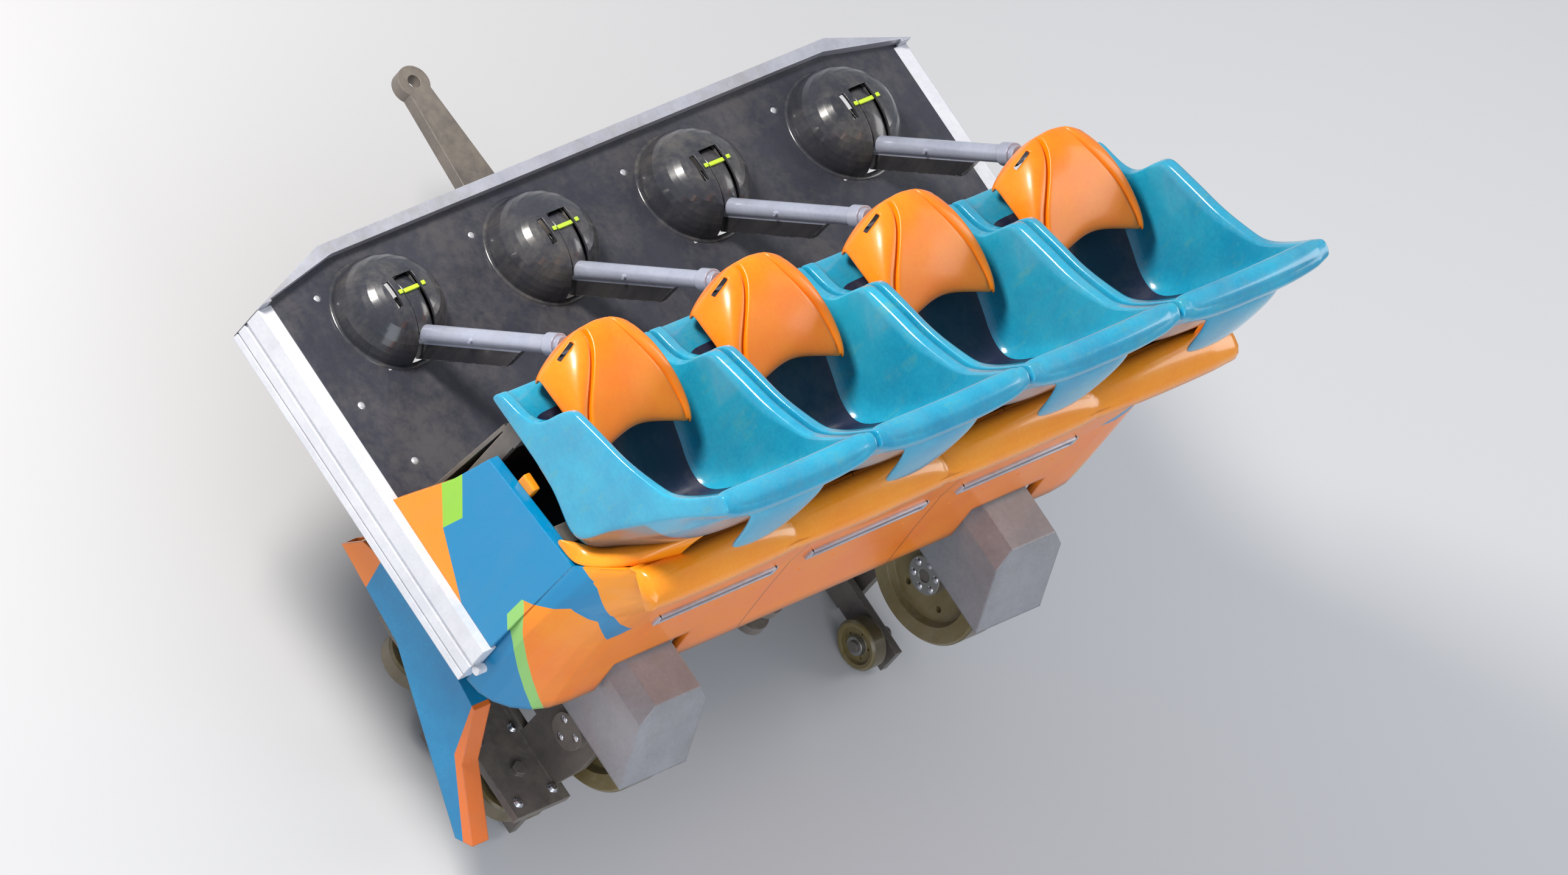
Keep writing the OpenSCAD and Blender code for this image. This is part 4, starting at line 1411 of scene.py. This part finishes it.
@dataclass
class CarrierTrim(Trim):
    """Bolts and caps on one wheel carrier.

    Attributes:
        side: The carrier's side.
        plate_rows: Places of the bracket's bolts from the axle.
        plate_lines: Their distances from the centre line.
        plate_top: Height of the bracket's top.
        cap: Distance out and radius of a journal's circle of bolts.
        hub: Distance out and radius of a wheel hub's circle.
    """

    side: Side
    plate_rows: tuple[float, ...] = (-0.30, -0.10, 0.10, 0.30)
    plate_lines: tuple[float, float] = (0.775, 0.905)
    plate_top: float = -0.620
    cap: tuple[float, float] = (0.790, 0.034)
    hub: tuple[float, float] = (0.587, 0.042)

    def build(self) -> None:
        """Builds the carrier's fittings."""
        s = self.side.value
        tag = self.side.name.lower()
        bright = self.paint.plain(BOLT)
        top = [car(AXLE + f, s * y, self.plate_top) for f in self.plate_rows for y in self.plate_lines]
        bolts = FastenerField(f"bracket_bolts_{tag}", top, Vector((0, 0, 1)), BOLT_HEAD, 6).build(bright)
        ends = [p for end in (1, -1) for p in self._circle(end, self.cap, (0.6, 2.7, 4.8))]
        caps = FastenerField(f"journal_bolts_{tag}", ends, Vector((0, s, 0)), SCREW_HEAD).build(bright)
        out = [(bolts, BODY), (caps, BODY)]
        for end, word in ((1, "front"), (-1, "rear")):
            hub = self._circle(end, self.hub, (0.3, 1.35, 2.4, 3.45, 4.5, 5.55))
            name = f"hub_bolts_{tag}_{word}"
            piece = FastenerField(name, hub, Vector((0, -s, 0)), SCREW_HEAD).build(bright)
            out.append((piece, f"road_wheel_{tag}_{word}"))
        for obj, body in out:
            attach(obj, body)

    def _circle(self, end: int, circle: tuple[float, float], angles: Iterable[float]) -> list[Vector]:
        """Places points round a road wheel's axis.

        Args:
            end: 1 for the front wheel, -1 for the rear one.
            circle: Distance from the centre line, and radius.
            angles: Angles of the points, in radians.

        Returns:
            The points.
        """
        out, radius = circle
        f, y = AXLE + end * ROAD_STEP, self.side.value * out
        return [car(f + radius * math.cos(a), y, ROAD_AXIS + radius * math.sin(a)) for a in angles]


def dress_nodes(frame: dict, paint: Paintbox) -> None:
    """Gives every carried-over CAD node its material.

    Args:
        paint: The material store.
    """
    named = {
        "floor_pan": paint.plain(FLOOR),
        "floor_rim": paint.plain(RIM),
        "side_sills": paint.plain(SILL),
        "humps": paint.plain(HUMP),
        "brake_fin": paint.plain(STEEL),
        "wheel_housing": paint.plain(HOUSING),
        # The tub's material carries painted sunlight on the ledge and corners and painted shade on the
        # underside.
        "tub": paint.custom("tub_moulding", SHELL, tub_colour),
        "flank": paint.custom("flank_paint", FLANK, partial(lay_fields, fields=FLANK_FIELDS)),
        "fairing": paint.custom("fairing_paint", BLUE, partial(lay_fields, fields=FIN_FIELDS)),
    }
    bar = paint.custom("lap_bar_paint", BAR, bar_colour)
    for name in frame["nodes"]:
        kind = name.removesuffix("_left").removesuffix("_right")
        if kind in named:
            material = named[kind]
        elif name.startswith("lap_arm"):
            material = bar
        elif name.startswith("lap_pad"):
            material = paint.plain(ORANGE)
        elif name.startswith("seat_") and name != "seat_frame":
            material = paint.plain(TEAL)
        elif "_wheel_" in name:
            material = wheel_material(paint, name)
        else:
            material = paint.plain(FRAME)
        obj = bpy.data.objects[name]
        if not obj.material_slots:
            obj.data.materials.append(material)
        for slot in obj.material_slots:
            slot.material = material


LIGHTS = (
    ("key", (3.2, 3.4, 5.6), 1.6, 520.0, (1.0, 0.95, 0.88)),
    ("fill", (-4.5, 3.0, 3.2), 4.0, 110.0, (0.88, 0.93, 1.0)),
    ("back", (-2.0, -5.0, 4.0), 3.0, 110.0, (1.0, 0.98, 0.95)),
)
FLOOR_COLOR = (0.62, 0.62, 0.63, 1.0)
SKY_COLOR, SKY_STRENGTH = (0.74, 0.80, 0.90, 1.0), 0.55
PHOTO_RIGHT, PHOTO_BACK = (-0.541, -0.703, 0.461), (-0.211, 0.644, 0.7345)
PHOTO_ASPECT = 2576 / 1438
PHOTO_DISTANCE, PHOTO_MARGIN, SENSOR = 57.0, 1.07, 36.0


def make_stage() -> None:
    """Adds the pale floor, the soft lights and the even sky."""
    shape = Shape()
    bmesh.ops.create_grid(shape.bm, x_segments=2, y_segments=2, size=40.0)
    mat = bpy.data.materials.new("pale_floor")
    mat.use_nodes = True
    bsdf = mat.node_tree.nodes["Principled BSDF"]
    bsdf.inputs["Base Color"].default_value = FLOOR_COLOR
    bsdf.inputs["Roughness"].default_value = 0.75
    shape.piece("stage_floor", mat, smooth=False)
    world = bpy.data.worlds.new("even_sky")
    world.use_nodes = True
    sky = world.node_tree.nodes["Background"].inputs
    sky[0].default_value, sky[1].default_value = SKY_COLOR, SKY_STRENGTH
    bpy.context.scene.world = world
    for name, place, size, power, color in LIGHTS:
        data = bpy.data.lights.new(name, "AREA")
        data.size, data.energy, data.color = size, power, color
        obj = bpy.data.objects.new(name, data)
        obj.location = place
        obj.rotation_mode = "QUATERNION"
        obj.rotation_quaternion = (Vector((0, 0, 0.9)) - Vector(place)).to_track_quat("-Z", "Y")
        bpy.context.scene.collection.objects.link(obj)


def aim_camera(names: Iterable[str]) -> None:
    """Sets the camera at the photograph's viewing direction and roll.

    Args:
        names: CAD nodes that must lie in the picture.
    """
    back = Vector(PHOTO_BACK).normalized()
    up = back.cross(Vector(PHOTO_RIGHT).normalized()).normalized()
    right = up.cross(back).normalized()
    spots = [v.co for n in names for v in bpy.data.objects[n].data.vertices]
    middle, spans = Vector(), []
    for axis in (right, up, back):
        reach = [p.dot(axis) for p in spots]
        middle += axis * (min(reach) + max(reach)) / 2
        spans.append(max(reach) - min(reach))
    data = bpy.data.cameras.new("photo_view")
    data.sensor_width = SENSOR
    data.lens = SENSOR * PHOTO_DISTANCE / (max(spans[0], spans[1] * PHOTO_ASPECT) * PHOTO_MARGIN)
    data.clip_end = 200.0
    cam = bpy.data.objects.new("photo_view", data)
    turn = Matrix((right, up, back)).transposed().to_4x4()
    cam.matrix_world = Matrix.Translation(middle + back * PHOTO_DISTANCE) @ turn
    bpy.context.scene.collection.objects.link(cam)
    bpy.context.scene.camera = cam


def main() -> None:
    """Builds the whole scene."""
    logging.basicConfig(level=logging.INFO)
    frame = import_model()
    paint = Paintbox()
    dress_nodes(frame, paint)
    for number in range(1, 5):
        SeatShell(paint, number).build()
        LapPad(paint, number).build()
        SlotShield(paint, number).build()
    FloorTrim(paint).build()
    TubTrim(paint).build()
    for side in Side:
        CarrierTrim(paint, side).build()
    make_stage()
    aim_camera(frame["nodes"])
    scene = bpy.context.scene
    scene.view_settings.view_transform = "Standard"
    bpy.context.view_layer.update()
    for obj in bpy.context.scene.objects:
        if obj.type == "MESH":
            word = "CAD node" if obj.name in frame["nodes"] else "piece"
            LOG.info("%s %s: %d faces", word, obj.name, len(obj.data.polygons))


if __name__ == "__main__":
    main()
